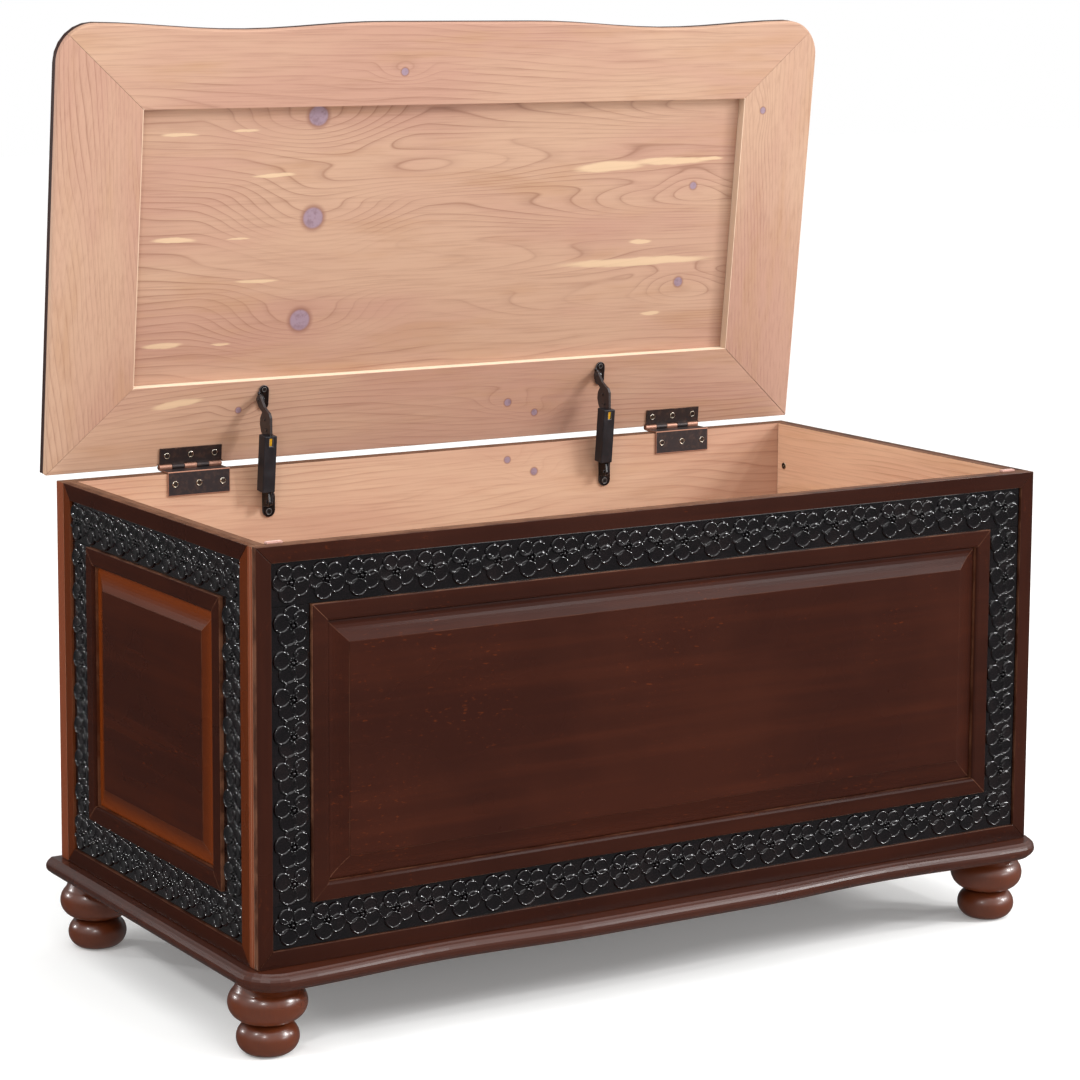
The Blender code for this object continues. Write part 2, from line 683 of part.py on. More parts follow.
def lid_bracket(name, x, pivot, lid_axis):
    """In the lid's frame: a round-ended plate under the lid and an ear beside the link."""
    along_lid = Vector((-math.cos(LID_ANGLE), math.sin(LID_ANGLE)))
    into_lid = Vector((math.sin(LID_ANGLE), math.cos(LID_ANGLE)))
    at, drop = -pivot.dot(along_lid), pivot.dot(into_lid)
    ear_low = x + LINK_THICK / 2 + LINK_PLAY
    across, tall, thick = LID_PLATE
    ear = [(at + 0.0068, -GAP - 0.0005), (at - 0.0068, -GAP - 0.0005)]
    ear += arc((at, drop), 0.0048, 190, 350)
    bracket = make_object(
        f"{name}_lid_bracket", plate_mesh(ear, ear_low, ear_low + EAR_THICK), BLACK, lid_axis
    )
    middle, end = ear_low + EAR_THICK - 0.0006 + across / 2, (tall - across) / 2
    pad = capsule((middle, at - end), (middle, at + end), across / 2, across / 2)
    plate = plate_mesh(pad, -GAP - thick, -GAP, "Z")
    boolean(bracket, make_object(f"{name}_lid_plate", plate, None, lid_axis), "UNION")


def main():
    axis = make_empty("hinge_axis", Matrix.Translation((0, AXIS_Y, AXIS_Z)))
    lid_axis = make_empty("lid_axis", Matrix.Rotation(-LID_ANGLE, 4, "X"), axis)
    box_walls()
    base_and_feet()
    lid_parts(lid_axis)
    hinges(axis, lid_axis)
    for side, x in zip(("left", "right"), STAY_X):
        lid_stay(side, x, axis, lid_axis)


main()
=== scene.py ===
"""The looks of a wooden storage chest with a cedar lining and carved borders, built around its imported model.

Metres, +Z up. The front faces -Y, and the lid stands open at rest.
"""

import math

import bmesh
import bpy
from mathutils import Matrix, Vector


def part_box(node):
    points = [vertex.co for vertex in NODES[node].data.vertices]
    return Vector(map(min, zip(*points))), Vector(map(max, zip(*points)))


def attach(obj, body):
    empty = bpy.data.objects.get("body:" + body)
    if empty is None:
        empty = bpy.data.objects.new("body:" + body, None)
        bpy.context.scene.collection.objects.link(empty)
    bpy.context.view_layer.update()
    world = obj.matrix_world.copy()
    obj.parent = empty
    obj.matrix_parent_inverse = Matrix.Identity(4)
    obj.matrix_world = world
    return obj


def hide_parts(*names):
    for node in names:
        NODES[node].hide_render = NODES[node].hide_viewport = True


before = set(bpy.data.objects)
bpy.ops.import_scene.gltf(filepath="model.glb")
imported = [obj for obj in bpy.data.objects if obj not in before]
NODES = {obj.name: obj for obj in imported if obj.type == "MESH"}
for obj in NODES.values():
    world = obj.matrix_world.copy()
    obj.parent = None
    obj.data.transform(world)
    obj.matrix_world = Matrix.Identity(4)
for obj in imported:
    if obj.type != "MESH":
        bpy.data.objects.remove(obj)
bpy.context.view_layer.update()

MM = 0.001
SMOOTH_ANGLE = math.radians(40)
FACES = ("front", "left", "right")
SIDES = ("left", "right")

# The box and its faces, from the frame.
BACK_LOW, BACK_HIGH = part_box("back_board")
RIM = BACK_HIGH.z
HALF_WIDTH = BACK_HIGH.x
BACK_FACE = BACK_HIGH.y
INSIDE_BACK = BACK_LOW.y
INSIDE_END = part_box("right_wall_board")[0].x
FACE_CENTRE = (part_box("front_bottom_rail")[0].z + RIM) / 2
FACE_RISE = RIM - FACE_CENTRE
SIDE_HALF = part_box("left_left_stile")[1].y

# The lid's own directions at rest, and its hinge line.
LID_ANGLE = math.radians(83.6)
LID_ALONG = Vector((0, -math.cos(LID_ANGLE), math.sin(LID_ANGLE)))
LID_INTO = Vector((0, math.sin(LID_ANGLE), math.cos(LID_ANGLE)))
HINGE_LOW, HINGE_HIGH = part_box("hinge_left_pin")
LID_AXIS = Vector((0, (HINGE_LOW.y + HINGE_HIGH.y) / 2, (HINGE_LOW.z + HINGE_HIGH.z) / 2))

# The recess in the lid: half its width, half its length, and how far its middle is from the hinge line.
PANEL_LOW, PANEL_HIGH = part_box("lid_cedar_panel")
PANEL_PLAY = 0.3 * MM
RECESS_HALF = PANEL_HIGH.x + PANEL_PLAY
RECESS_RISE = (PANEL_HIGH.z - PANEL_LOW.z) / 2 / LID_ALONG.z + PANEL_PLAY
RECESS_MIDDLE = 253.7 * MM

# The hinges' leaves on the box, and the thickness of every leaf.
BOX_LEAF_LOW, BOX_LEAF_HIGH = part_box("hinge_right_box_leaf")
HINGE_HALF = (BOX_LEAF_HIGH.x - BOX_LEAF_LOW.x) / 2
LEAF_THICK = 1.8 * MM

# Where the line between two layers shows on the front wall board's ends.
BOARD_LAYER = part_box("front_wall_board")[0].y + 4 * MM

# The stays' elbow and lower pivot, the link's upper pivot, and the links' places across.
STAY_ELBOW = Vector((0, 210 * MM, 561.5 * MM))
STAY_FOOT = Vector((0, 217 * MM, 491.5 * MM))
STAY_HEAD = Vector((0, 234 * MM, 608.5 * MM))
STAY_LINKS = {side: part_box(f"stay_{side}_link") for side in SIDES}
STAY_LINK_X = {side: (low.x + high.x) / 2 for side, (low, high) in STAY_LINKS.items()}

# The camera.
CAMERA_PLACE = Vector((-1.90792, -3.05563, 1.09471))
CAMERA_TURN = 0.55423
CAMERA_TILT = -0.13146
CAMERA_ROLL = 0.00559
CAMERA_LENS = 106.96
CAMERA_SHIFT_Y = -0.1296
CAMERA_SENSOR = 36
CAMERA_REACH = 100


def colour(red, green, blue):
    """A display colour, from 0 to 255, as the linear colour that a shader takes."""

    def linear(value):
        share = value / 255
        return share / 12.92 if share <= 0.04045 else ((share + 0.055) / 1.055) ** 2.4

    return (linear(red), linear(green), linear(blue), 1)


def on_lid(across, along, depth=0.0):
    """A point of the open lid: how far across it, along it from the hinge line, and into its thickness."""
    return Vector((across, 0, 0)) + LID_AXIS + along * LID_ALONG + depth * LID_INTO


class Graph:
    """A material's node tree, with short calls for the nodes that these materials use."""

    def __init__(self, name):
        self.material = bpy.data.materials.new(name)
        self.material.use_nodes = True
        self.tree = self.material.node_tree
        self.shader = self.tree.nodes["Principled BSDF"]
        coordinates = self.add("TexCoord")
        self.place = coordinates.outputs["Object"]
        self.normal = coordinates.outputs["Normal"]

    def add(self, kind, inputs=(), **settings):
        node = self.tree.nodes.new("ShaderNode" + kind)
        for key, value in settings.items():
            setattr(node, key, value)
        for key, value in dict(inputs).items():
            self.feed(node.inputs[key], value)
        return node

    def feed(self, socket, value):
        if isinstance(value, bpy.types.NodeSocket):
            self.tree.links.new(value, socket)
        else:
            socket.default_value = value

    def set(self, **inputs):
        """Sets the shader's own sockets, named with _ for a space."""
        for key, value in inputs.items():
            self.feed(self.shader.inputs[key.replace("_", " ")], value)

    def math(self, operation, *values):
        return self.add("Math", enumerate(values), operation=operation).outputs[0]

    def vector_math(self, operation, *values):
        node = self.add("VectorMath", enumerate(values), operation=operation)
        return node.outputs["Value" if operation in ("LENGTH", "DOT_PRODUCT") else "Vector"]

    def distance(self, first, second):
        return self.math("ABSOLUTE", self.math("SUBTRACT", first, second))

    def axis(self, name):
        return self.add("SeparateXYZ", {0: self.place}).outputs[name]

    def spread(self, value, low, high, to_low=0.0, to_high=1.0):
        """value from low to high, smoothly and held at the ends, as a number from to_low to to_high."""
        inputs = {0: value, 1: low, 2: high, 3: to_low, 4: to_high}
        return self.add("MapRange", inputs, interpolation_type="SMOOTHSTEP").outputs[0]

    def noise(self, vector, scale=1.0, detail=2.0, roughness=0.5):
        inputs = {"Vector": vector, "Scale": scale, "Detail": detail, "Roughness": roughness}
        return self.add("TexNoise", inputs).outputs[0]

    def stretched(self, vector, scale):
        return self.add("Mapping", {"Vector": vector, "Scale": scale}).outputs[0]

    def mix(self, factor, first, second):
        return self.add("Mix", {0: factor, 6: first, 7: second}, data_type="RGBA").outputs[2]

    def ramp(self, value, *stops):
        """A number read from (place, number) stops along value."""
        node = self.add("ValToRGB", {0: value})
        elements = node.color_ramp.elements
        while len(elements) < len(stops):
            elements.new(0.5)
        for element, (place, number) in zip(elements, stops):
            element.position = place
            element.color = (number, number, number, 1)
        return node.outputs[0]

    def bump(self, height, strength, distance):
        inputs = {"Height": height, "Strength": strength, "Distance": distance}
        self.set(Normal=self.add("Bump", inputs).outputs[0])

    def along_grain(self, grain, seed):
        """The object's coordinates with X along the grain, moved by an amount of the seed's own."""
        turns = {"X": (0, 0, 0), "Y": (0, 0, -math.pi / 2), "Z": (0, math.pi / 2, 0)}
        shift = (seed * 3.7, seed * 1.3, seed * 2.1)
        inputs = {"Vector": self.place, "Rotation": turns[grain], "Location": shift}
        return self.add("Mapping", inputs).outputs[0]

    def spot(self, place, centre, radii, turn=0.0, edge=0.15):
        """1 inside an ellipsoid and 0 outside it, fading over a share of its radius."""
        inputs = {"Vector": place, "Location": centre, "Rotation": (0, turn, 0), "Scale": radii}
        local = self.add("Mapping", inputs, vector_type="TEXTURE").outputs[0]
        return self.spread(self.vector_math("LENGTH", local), 1 + edge, 1 - edge)


# Materials.
STAIN = colour(52, 20, 9)
STAIN_DEEP = colour(44, 18, 11)
STAIN_FRAME = colour(32, 12, 6)
STAIN_RED = colour(70, 29, 13)
# Orange where the stain is thin, and also the orange of painted warm light on the side faces.
ORANGE_STAIN_AND_LIGHT = colour(112, 48, 10)
STAIN_RUB = colour(126, 84, 62)
CARVING = colour(6, 3, 5)
CARVING_BROWN = colour(16, 8, 9)
RIM_TAN = colour(96, 64, 46)
RIM_LAYER = colour(114, 80, 60)
SAPWOOD = colour(210, 182, 148)
# Painted light on the lid recess's end walls and side arrises, and painted shade on its side walls.
LIT_CEDAR = colour(234, 210, 184)
SHADED_CEDAR = colour(140, 96, 70)
KNOT = colour(146, 124, 136)
KNOT_CRACK = colour(130, 106, 116)
KNOT_RING = colour(126, 84, 74)
COPPER = colour(176, 128, 106)
# Cedar's main tone, its pink and its tan patches, and the late wood of its rings: on the lid, on the box's
# long walls and bottom, and on its short walls, where the lighter tones are painted light.
CEDAR_TONES = (colour(184, 149, 125), colour(176, 136, 117), colour(173, 134, 105), colour(118, 74, 56))
LINING_TONES = (colour(201, 165, 138), colour(191, 151, 127), colour(188, 148, 118), colour(142, 92, 70))
SHORT_WALL_LIT_TONES = (colour(238, 200, 168), colour(230, 188, 158), colour(226, 184, 148), colour(170, 118, 88))
# How far the swirls move the growth rings, in rings, and how far a knot does for each metre of its radius.
SWIRL_RINGS = 11
KNOT_BULGE = 430
# How deep a knot reaches, in radii, and how deep the other marks do, right through any board.
KNOT_DEPTH = 3
MARK_DEPTH = 60 * MM
# How far a streak's edge wanders.
RAGGED = 8 * MM

MITRE_LINE = 0.35 * MM
EDGE_LINE = 0.5 * MM
# The bands of a framed face, as distances in from its edge.
FRAME_WIDTH = 17.5 * MM
STRIP_END = 62.7 * MM
MOULDING_END = 82.0 * MM
BEVEL_END = 105.1 * MM
# (distance in from a face's edge, strength) of the rubbed lines.
RUBBED_INSETS = ((0, 0.6), (FRAME_WIDTH, 0.4), (STRIP_END, 0.8), (MOULDING_END, 0.5), (BEVEL_END, 0.2))


def stained_wood(name, grain, seed, face=None, orange=0.0, shine=1.0):
    """Dark cherry stain under lacquer. orange is how thin the stain is on the base and feet, and is painted
    warm light on the sides' stiles. shine is how glossy the lacquer is.

    face = (axis, half, bevel light) adds a framed face's rubbed edges, mitres and painted bevel light.
    """
    graph = Graph(name)
    place = graph.along_grain(grain, seed)
    clouds = graph.noise(place, 6, 3, 0.55)
    streaks = graph.noise(graph.stretched(place, (2.5, 55, 55)), 1, 4, 0.6)
    fibres = graph.noise(graph.stretched(place, (18, 700, 700)), 1, 3, 0.6)
    flecks = graph.noise(graph.stretched(place, (110, 330, 330)), 1, 2, 0.6)
    base = graph.mix(graph.spread(clouds, 0.35, 0.7), STAIN_DEEP, STAIN)
    base = graph.mix(graph.spread(streaks, 0.4, 0.75, 0, 0.3), base, STAIN_RED)
    base = graph.mix(orange, base, ORANGE_STAIN_AND_LIGHT)
    base = graph.mix(graph.spread(fibres, 0.45, 0.75, 0, 0.2), base, STAIN_DEEP)
    patches = graph.spread(graph.noise(place, 9, 2, 0.5), 0.5, 0.66)
    flecked = graph.math("MULTIPLY", graph.spread(flecks, 0.62, 0.72), patches)
    base = graph.mix(graph.math("MULTIPLY", flecked, 0.3), base, ORANGE_STAIN_AND_LIGHT)
    if face:
        base = rubbed_edges(graph, base, *face)
    graph.set(
        Base_Color=base,
        Roughness=graph.spread(clouds, 0.3, 0.7, 0.26, 0.36),
        Specular_IOR_Level=0.16 * shine,
        Coat_Weight=0.06 * shine,
        Coat_Roughness=0.12,
    )
    graph.bump(fibres, 0.08, 0.2 * MM)
    return graph.material


def rubbed_edges(graph, base, axis, half, bevel_light):
    """A face's darker frame, and thin lines where the stain is rubbed through on mitres and between bands.

    The last argument is how much painted warm light, in orange, lies on the raised panel's bevel, most of all
    at its lip.
    """
    across = graph.math("SUBTRACT", half, graph.math("ABSOLUTE", graph.axis(axis)))
    rise = graph.math("SUBTRACT", FACE_RISE, graph.distance(graph.axis("Z"), FACE_CENTRE))
    inset = graph.math("MINIMUM", across, rise)
    framing = graph.spread(inset, MOULDING_END, MOULDING_END - 1 * MM, 0, 0.35)
    base = graph.mix(framing, base, STAIN_FRAME)
    # Painted warm light, in orange, on the raised panel's bevel, strongest at its lip.
    outer = graph.spread(inset, MOULDING_END - 0.3 * MM, MOULDING_END, 0, bevel_light)
    bevel = graph.math("MULTIPLY", outer, graph.spread(inset, BEVEL_END + 1 * MM, BEVEL_END - 1 * MM))
    from_lip = graph.spread(inset, BEVEL_END, MOULDING_END, 0.35, 1)
    base = graph.mix(graph.math("MULTIPLY", bevel, from_lip), base, ORANGE_STAIN_AND_LIGHT)
    lines = graph.spread(graph.distance(across, rise), MITRE_LINE, MITRE_LINE / 2)
    lines = graph.math("MULTIPLY", lines, graph.spread(inset, BEVEL_END + MITRE_LINE, BEVEL_END))
    for edge, strength in RUBBED_INSETS:
        line = graph.spread(graph.distance(inset, edge), EDGE_LINE, EDGE_LINE / 2, 0, strength)
        lines = graph.math("MAXIMUM", lines, line)
    wear = graph.spread(graph.noise(graph.place, 30, 3, 0.6), 0.35, 0.65, 0.15, 0.8)
    return graph.mix(graph.math("MULTIPLY", lines, wear), base, STAIN_RUB)


def dark_carving():
    """Near-black glossy lacquer on the carved borders, with a little brown on the ground."""
    graph = Graph("carving_lacquer")
    clouds = graph.noise(graph.place, 25, 3, 0.6)
    graph.set(
        Base_Color=graph.mix(graph.spread(clouds, 0.4, 0.7), CARVING, CARVING_BROWN),
        Roughness=graph.spread(clouds, 0.3, 0.7, 0.1, 0.17),
        Specular_IOR_Level=0.35,
        Coat_Weight=0.55,
        Coat_Roughness=0.04,
    )
    graph.bump(graph.noise(graph.place, 900, 2, 0.5), 0.12, 0.15 * MM)
    return graph.material


def knot_size(grain, radius, long, wide):
    """The radii of a knot's ellipsoid, longer along the grain and deep enough to pass through the board."""
    along, through, across = radius * long, radius * KNOT_DEPTH, radius * wide
    return (along, through, across) if grain == "X" else (across, through, along)


def late_wood_rings(graph, place, grain, rings, knots, arches):
    """How much of each place is late wood, in rings that bend round the knots and close in the arches."""
    _, across, depth = graph.add("SeparateXYZ", {0: place}).outputs
    field = graph.math("MULTIPLY", graph.math("ADD", across, depth), rings)
    swirl = graph.noise(graph.stretched(place, (1.6, 9, 9)), 1, 2.5, 0.45)
    field = graph.math("ADD", field, graph.math("MULTIPLY", swirl, SWIRL_RINGS))
    for centre, radius in knots:
        bulge = graph.spot(graph.place, centre, knot_size(grain, radius, 6.5, 2.6), edge=0.9)
        field = graph.math("ADD", field, graph.math("MULTIPLY", bulge, radius * KNOT_BULGE))
    for centre, half_length, half_width, count in arches:
        arch = graph.spot(graph.place, centre, (half_length, MARK_DEPTH, half_width), edge=0.95)
        field = graph.math("ADD", field, graph.math("MULTIPLY", arch, count))
    stops = ((0, 0.3), (0.06, 0), (0.65, 0.08), (0.88, 0.4), (0.95, 1), (1, 0.3))
    return graph.ramp(graph.math("FRACT", field), *stops)


def add_streaks(graph, base, place, streaks):
    """Streaks of pale sapwood with ragged edges."""
    wobble = graph.noise(graph.stretched(place, (14, 60, 60)), 1, 4, 0.6)
    shift = graph.add("CombineXYZ", {0: 0, 1: 0, 2: graph.math("MULTIPLY", wobble, RAGGED)})
    ragged = graph.vector_math("ADD", graph.place, shift.outputs[0])
    for centre, half_length, half_width, turn in streaks:
        raised = centre + Vector((0, 0, RAGGED / 2))
        mask = graph.spot(ragged, raised, (half_length, MARK_DEPTH, half_width), turn, 0.25)
        base = graph.mix(graph.math("MULTIPLY", mask, 0.75), base, SAPWOOD)
    return base


def add_knots(graph, base, grain, knots):
    """Grey-violet knots, each in a thin brown ring."""
    for centre, radius in knots:
        ring = graph.spot(graph.place, centre, knot_size(grain, radius, 1.25, 1.2), edge=0.25)
        base = graph.mix(graph.math("MULTIPLY", ring, 0.8), base, KNOT_RING)
        disc = graph.spot(graph.place, centre, knot_size(grain, radius, 1, 0.95), edge=0.12)
        cracks = graph.spread(graph.noise(graph.place, 130, 3, 0.6), 0.3, 0.55)
        base = graph.mix(disc, base, graph.mix(cracks, KNOT_CRACK, KNOT))
    return base


def cedar(name, grain, seed, knots=(), streaks=(), arches=(), rings=110, edges=None, tones=CEDAR_TONES):
    """Aromatic cedar, flat sawn, with so many rings to the metre.

    knots are (centre, radius), and streaks are (centre, half length, half width, turn). arches are where the
    rings close in nested arches: (centre, half length, half width, rings). edges takes the graph and the
    colour, and returns the colour with its edges stained, and on the lid with painted light and shade too.
    """
    graph = Graph(name)
    place = graph.along_grain(grain, seed)
    late = late_wood_rings(graph, place, grain, rings, knots, arches)
    fibres = graph.noise(graph.stretched(place, (12, 420, 420)), 1, 4, 0.65)
    clouds = graph.noise(graph.stretched(place, (2.5, 10, 10)), 1, 3, 0.5)
    tan_clouds = graph.noise(graph.stretched(place, (3.5, 22, 22)), 1.3, 3, 0.6)
    fading = graph.noise(graph.stretched(place, (4, 14, 14)), 1, 2, 0.5)
    light, pink, tan, late_wood = tones
    base = graph.mix(graph.spread(clouds, 0.35, 0.62), light, pink)
    base = graph.mix(graph.spread(tan_clouds, 0.5, 0.75, 0, 0.7), base, tan)
    strength = graph.spread(fading, 0.35, 0.65, 0.12, 0.55)
    base = graph.mix(graph.math("MULTIPLY", late, strength), base, late_wood)
    base = graph.mix(graph.spread(fibres, 0.42, 0.8, 0, 0.28), base, late_wood)
    base = add_streaks(graph, base, place, streaks)
    base = add_knots(graph, base, grain, knots)
    if edges:
        base = edges(graph, base)
    graph.set(
        Base_Color=base,
        Roughness=graph.spread(late, 0, 1, 0.62, 0.5),
        Specular_IOR_Level=0.25,
    )
    graph.bump(graph.math("ADD", fibres, graph.math("MULTIPLY", late, -0.6)), 0.2, 0.15 * MM)
    return graph.material


def lid_edges(graph, base):
    """Painted light on the recess's end walls, painted shade on its side walls and a painted highlight along
    its side arrises, and the lid's half stained edge.
    """
    flat = graph.math("ABSOLUTE", graph.vector_math("DOT_PRODUCT", graph.normal, LID_INTO))
    edge_face = graph.spread(flat, 0.8, 0.6)
    from_axis = graph.vector_math("SUBTRACT", graph.place, LID_AXIS)
    along = graph.vector_math("DOT_PRODUCT", from_axis, LID_ALONG)
    depth = graph.vector_math("DOT_PRODUCT", from_axis, LID_INTO)
    past_end = graph.math("SUBTRACT", graph.distance(along, RECESS_MIDDLE), RECESS_RISE)
    past_side = graph.math("SUBTRACT", graph.math("ABSOLUTE", graph.axis("X")), RECESS_HALF)
    past = graph.math("MAXIMUM", past_side, past_end)
    # Painted light on the recess's end walls and painted shade on its side walls.
    wall = graph.math("MULTIPLY", edge_face, graph.spread(past, 2 * MM, 1 * MM))
    at_side = graph.spread(graph.math("SUBTRACT", past_side, past_end), 0, 1 * MM)
    base = graph.mix(wall, base, graph.mix(at_side, LIT_CEDAR, SHADED_CEDAR))
    # A painted highlight along the recess's side arrises.
    from_arris = graph.math("MAXIMUM", graph.math("ABSOLUTE", past_side), past_end)
    base = graph.mix(graph.spread(from_arris, 1 * MM, 0.5 * MM, 0, 0.6), base, LIT_CEDAR)
    outside = graph.math("MULTIPLY", edge_face, graph.spread(past, 20 * MM, 30 * MM))
    outer_half = graph.spread(depth, 7 * MM, 8 * MM)
    return graph.mix(graph.math("MULTIPLY", outside, outer_half), base, STAIN_DEEP)


def board_edges(graph, base):
    """A wall board's outside and ends stained, a pale line down its ends, and its top mottled tan."""
    depth = graph.axis("Y")
    back = graph.spread(depth, BACK_FACE - 0.6 * MM, BACK_FACE - 0.3 * MM)
    base = graph.mix(back, base, STAIN)
    from_middle = graph.math("ABSOLUTE", graph.axis("X"))
    end = graph.spread(from_middle, HALF_WIDTH - 0.5 * MM, HALF_WIDTH - 0.2 * MM)
    layered = graph.spread(graph.distance(depth, BOARD_LAYER), 0.9 * MM, 0.4 * MM)
    base = graph.mix(end, base, graph.mix(layered, ORANGE_STAIN_AND_LIGHT, STAIN_RUB))
    top = graph.spread(graph.axis("Z"), RIM - 0.6 * MM, RIM - 0.3 * MM)
    fibres = graph.noise(graph.stretched(graph.place, (40, 40, 40)), 1, 3, 0.6)
    return graph.mix(top, base, graph.mix(graph.spread(fibres, 0.3, 0.7), RIM_TAN, RIM_LAYER))


def bronze(name, base, worn_and_highlight, metallic, roughness, wear=None):
    """Dark bronze plate, a little mottled. wear takes the graph and gives where copper shows through."""
    graph = Graph(name)
    grain = graph.noise(graph.place, 900, 3, 0.6)
    clouds = graph.noise(graph.place, 160, 3, 0.6)
    tone = graph.mix(graph.spread(clouds, 0.45, 0.75), base, worn_and_highlight)
    if wear:
        tone = graph.mix(wear(graph), tone, COPPER)
    graph.set(
        Base_Color=tone,
        Metallic=metallic,
        Roughness=graph.spread(grain, 0.3, 0.7, roughness, roughness + 0.12),
    )
    graph.bump(grain, 0.2, 0.1 * MM)
    return graph.material


def from_line(graph, point):
    """How far each place is from the line along X through a point."""
    offset = graph.vector_math("SUBTRACT", graph.place, point)
    return graph.vector_math("LENGTH", graph.vector_math("MULTIPLY", offset, (0, 1, 1)))


def box_leaf_wear(graph):
    """Copper on the box leaf's knuckles, on its bend over the rim, and along its free edges."""
    knuckle = graph.spread(from_line(graph, LID_AXIS), 4.2 * MM, 3.6 * MM, 0, 0.75)
    bend_line = Vector((0, BOX_LEAF_LOW.y, RIM + LEAF_THICK))
    bend = graph.spread(from_line(graph, bend_line), 1.3 * MM, 0.8 * MM)
    leaf_middle = BOX_LEAF_HIGH.x - HINGE_HALF
    from_middle = graph.distance(graph.math("ABSOLUTE", graph.axis("X")), leaf_middle)
    side = graph.spread(from_middle, HINGE_HALF - 0.9 * MM, HINGE_HALF - 0.5 * MM, 0, 0.8)
    leaf_bottom = BOX_LEAF_LOW.z
    bottom = graph.spread(graph.axis("Z"), leaf_bottom + 0.9 * MM, leaf_bottom + 0.5 * MM, 0, 0.8)
    edges = graph.math("MAXIMUM", side, bottom)
    return graph.math("MAXIMUM", graph.math("MAXIMUM", knuckle, bend), edges)


def painted_steel(name, base, roughness):
    """Painted steel with a fine even tooth, a little lighter in patches."""
    graph = Graph(name)
    grain = graph.noise(graph.place, 1400, 2, 0.5)
    clouds = graph.noise(graph.place, 60, 3, 0.6)
    lighter = tuple(min(1, 1.6 * part + 0.002) for part in base[:3]) + (1,)
    graph.set(
        Base_Color=graph.mix(graph.spread(clouds, 0.4, 0.8), base, lighter),
        Metallic=0.2,
        Roughness=graph.spread(clouds, 0.3, 0.7, roughness, roughness + 0.1),
        Specular_IOR_Level=0.35,
    )
    graph.bump(grain, 0.12, 0.05 * MM)
    return graph.material


def bright_steel():
    graph = Graph("screw_metal")
    clouds = graph.noise(graph.place, 500, 3, 0.6)
    silver, tarnish = colour(214, 208, 196), colour(160, 142, 112)
    graph.set(
        Base_Color=graph.mix(graph.spread(clouds, 0.4, 0.65), silver, tarnish),
        Metallic=1.0,
        Roughness=graph.spread(clouds, 0.3, 0.7, 0.22, 0.38),
    )
    return graph.material


def yellow_plastic():
    graph = Graph("insert_plastic")
    clouds = graph.noise(graph.place, 400, 2, 0.5)
    graph.set(
        Base_Color=graph.mix(clouds, colour(224, 178, 30), colour(168, 116, 20)),
        Roughness=graph.spread(clouds, 0.3, 0.7, 0.3, 0.45),
    )
    return graph.material


def felt():
    graph = Graph("bumper_felt")
    fuzz = graph.noise(graph.place, 1500, 3, 0.7)
    pile, tips = colour(176, 128, 116), colour(206, 162, 148)
    graph.set(
        Base_Color=graph.mix(graph.spread(fuzz, 0.3, 0.7), pile, tips),
        Roughness=0.95,
        Sheen_Weight=0.4,
    )
    graph.bump(fuzz, 0.6, 0.3 * MM)
    return graph.material


def paint(node, material):
    """Gives a CAD node its material."""
    materials = NODES[node].data.materials
    materials.clear()
    materials.append(material)


def soften(node, width, edge_material):
    """Rounds a CAD node's edges a little, so that they catch the light, and gives them edge_material: worn
    copper on the hinges, a painted highlight on the stays.
    """
    NODES[node].data.materials.append(edge_material)
    weld = NODES[node].modifiers.new("weld", "WELD")
    weld.merge_threshold = 0.01 * MM
    bevel = NODES[node].modifiers.new("rounded", "BEVEL")
    bevel.width = width
    bevel.segments = 2
    bevel.limit_method = "ANGLE"
    bevel.angle_limit = math.radians(50)
    bevel.harden_normals = True
    bevel.material = 1


# How much painted warm light, in orange, lies on the sides' stiles and their panels' bevels,
# and how glossy the lacquer on each face is.
SIDE_STILE_LIGHT = 0.6
SIDE_BEVEL_LIGHT = 0.75
FRONT_SHINE = 0.75
SIDE_SHINE = 0.3


def paint_outside():
    """The stained boards, frames, mouldings and base."""
    for number, face in enumerate(FACES):
        front = face == "front"
        where = ("X", HALF_WIDTH, 0.0) if front else ("Y", SIDE_HALF, SIDE_BEVEL_LIGHT)
        run = "X" if front else "Y"
        # On the sides, the stiles' orange is painted warm light.
        orange = 0.0 if front else SIDE_STILE_LIGHT
        shine = FRONT_SHINE if front else SIDE_SHINE
        flat = stained_wood(f"{face}_stain", run, number + 1, where, shine=shine)
        upright = stained_wood(f"{face}_upright_stain", "Z", number + 4, where, orange, shine)
        for name in ("top_rail", "bottom_rail", "panel_moulding", "raised_panel"):
            paint(f"{face}_{name}", flat)
        for name in ("left_stile", "right_stile"):
            paint(f"{face}_{name}", upright)
    paint("base_board", stained_wood("base_stain", "X", 8, orange=0.1, shine=2.5))
    paint("lid_top_board", stained_wood("lid_stain", "X", 9))


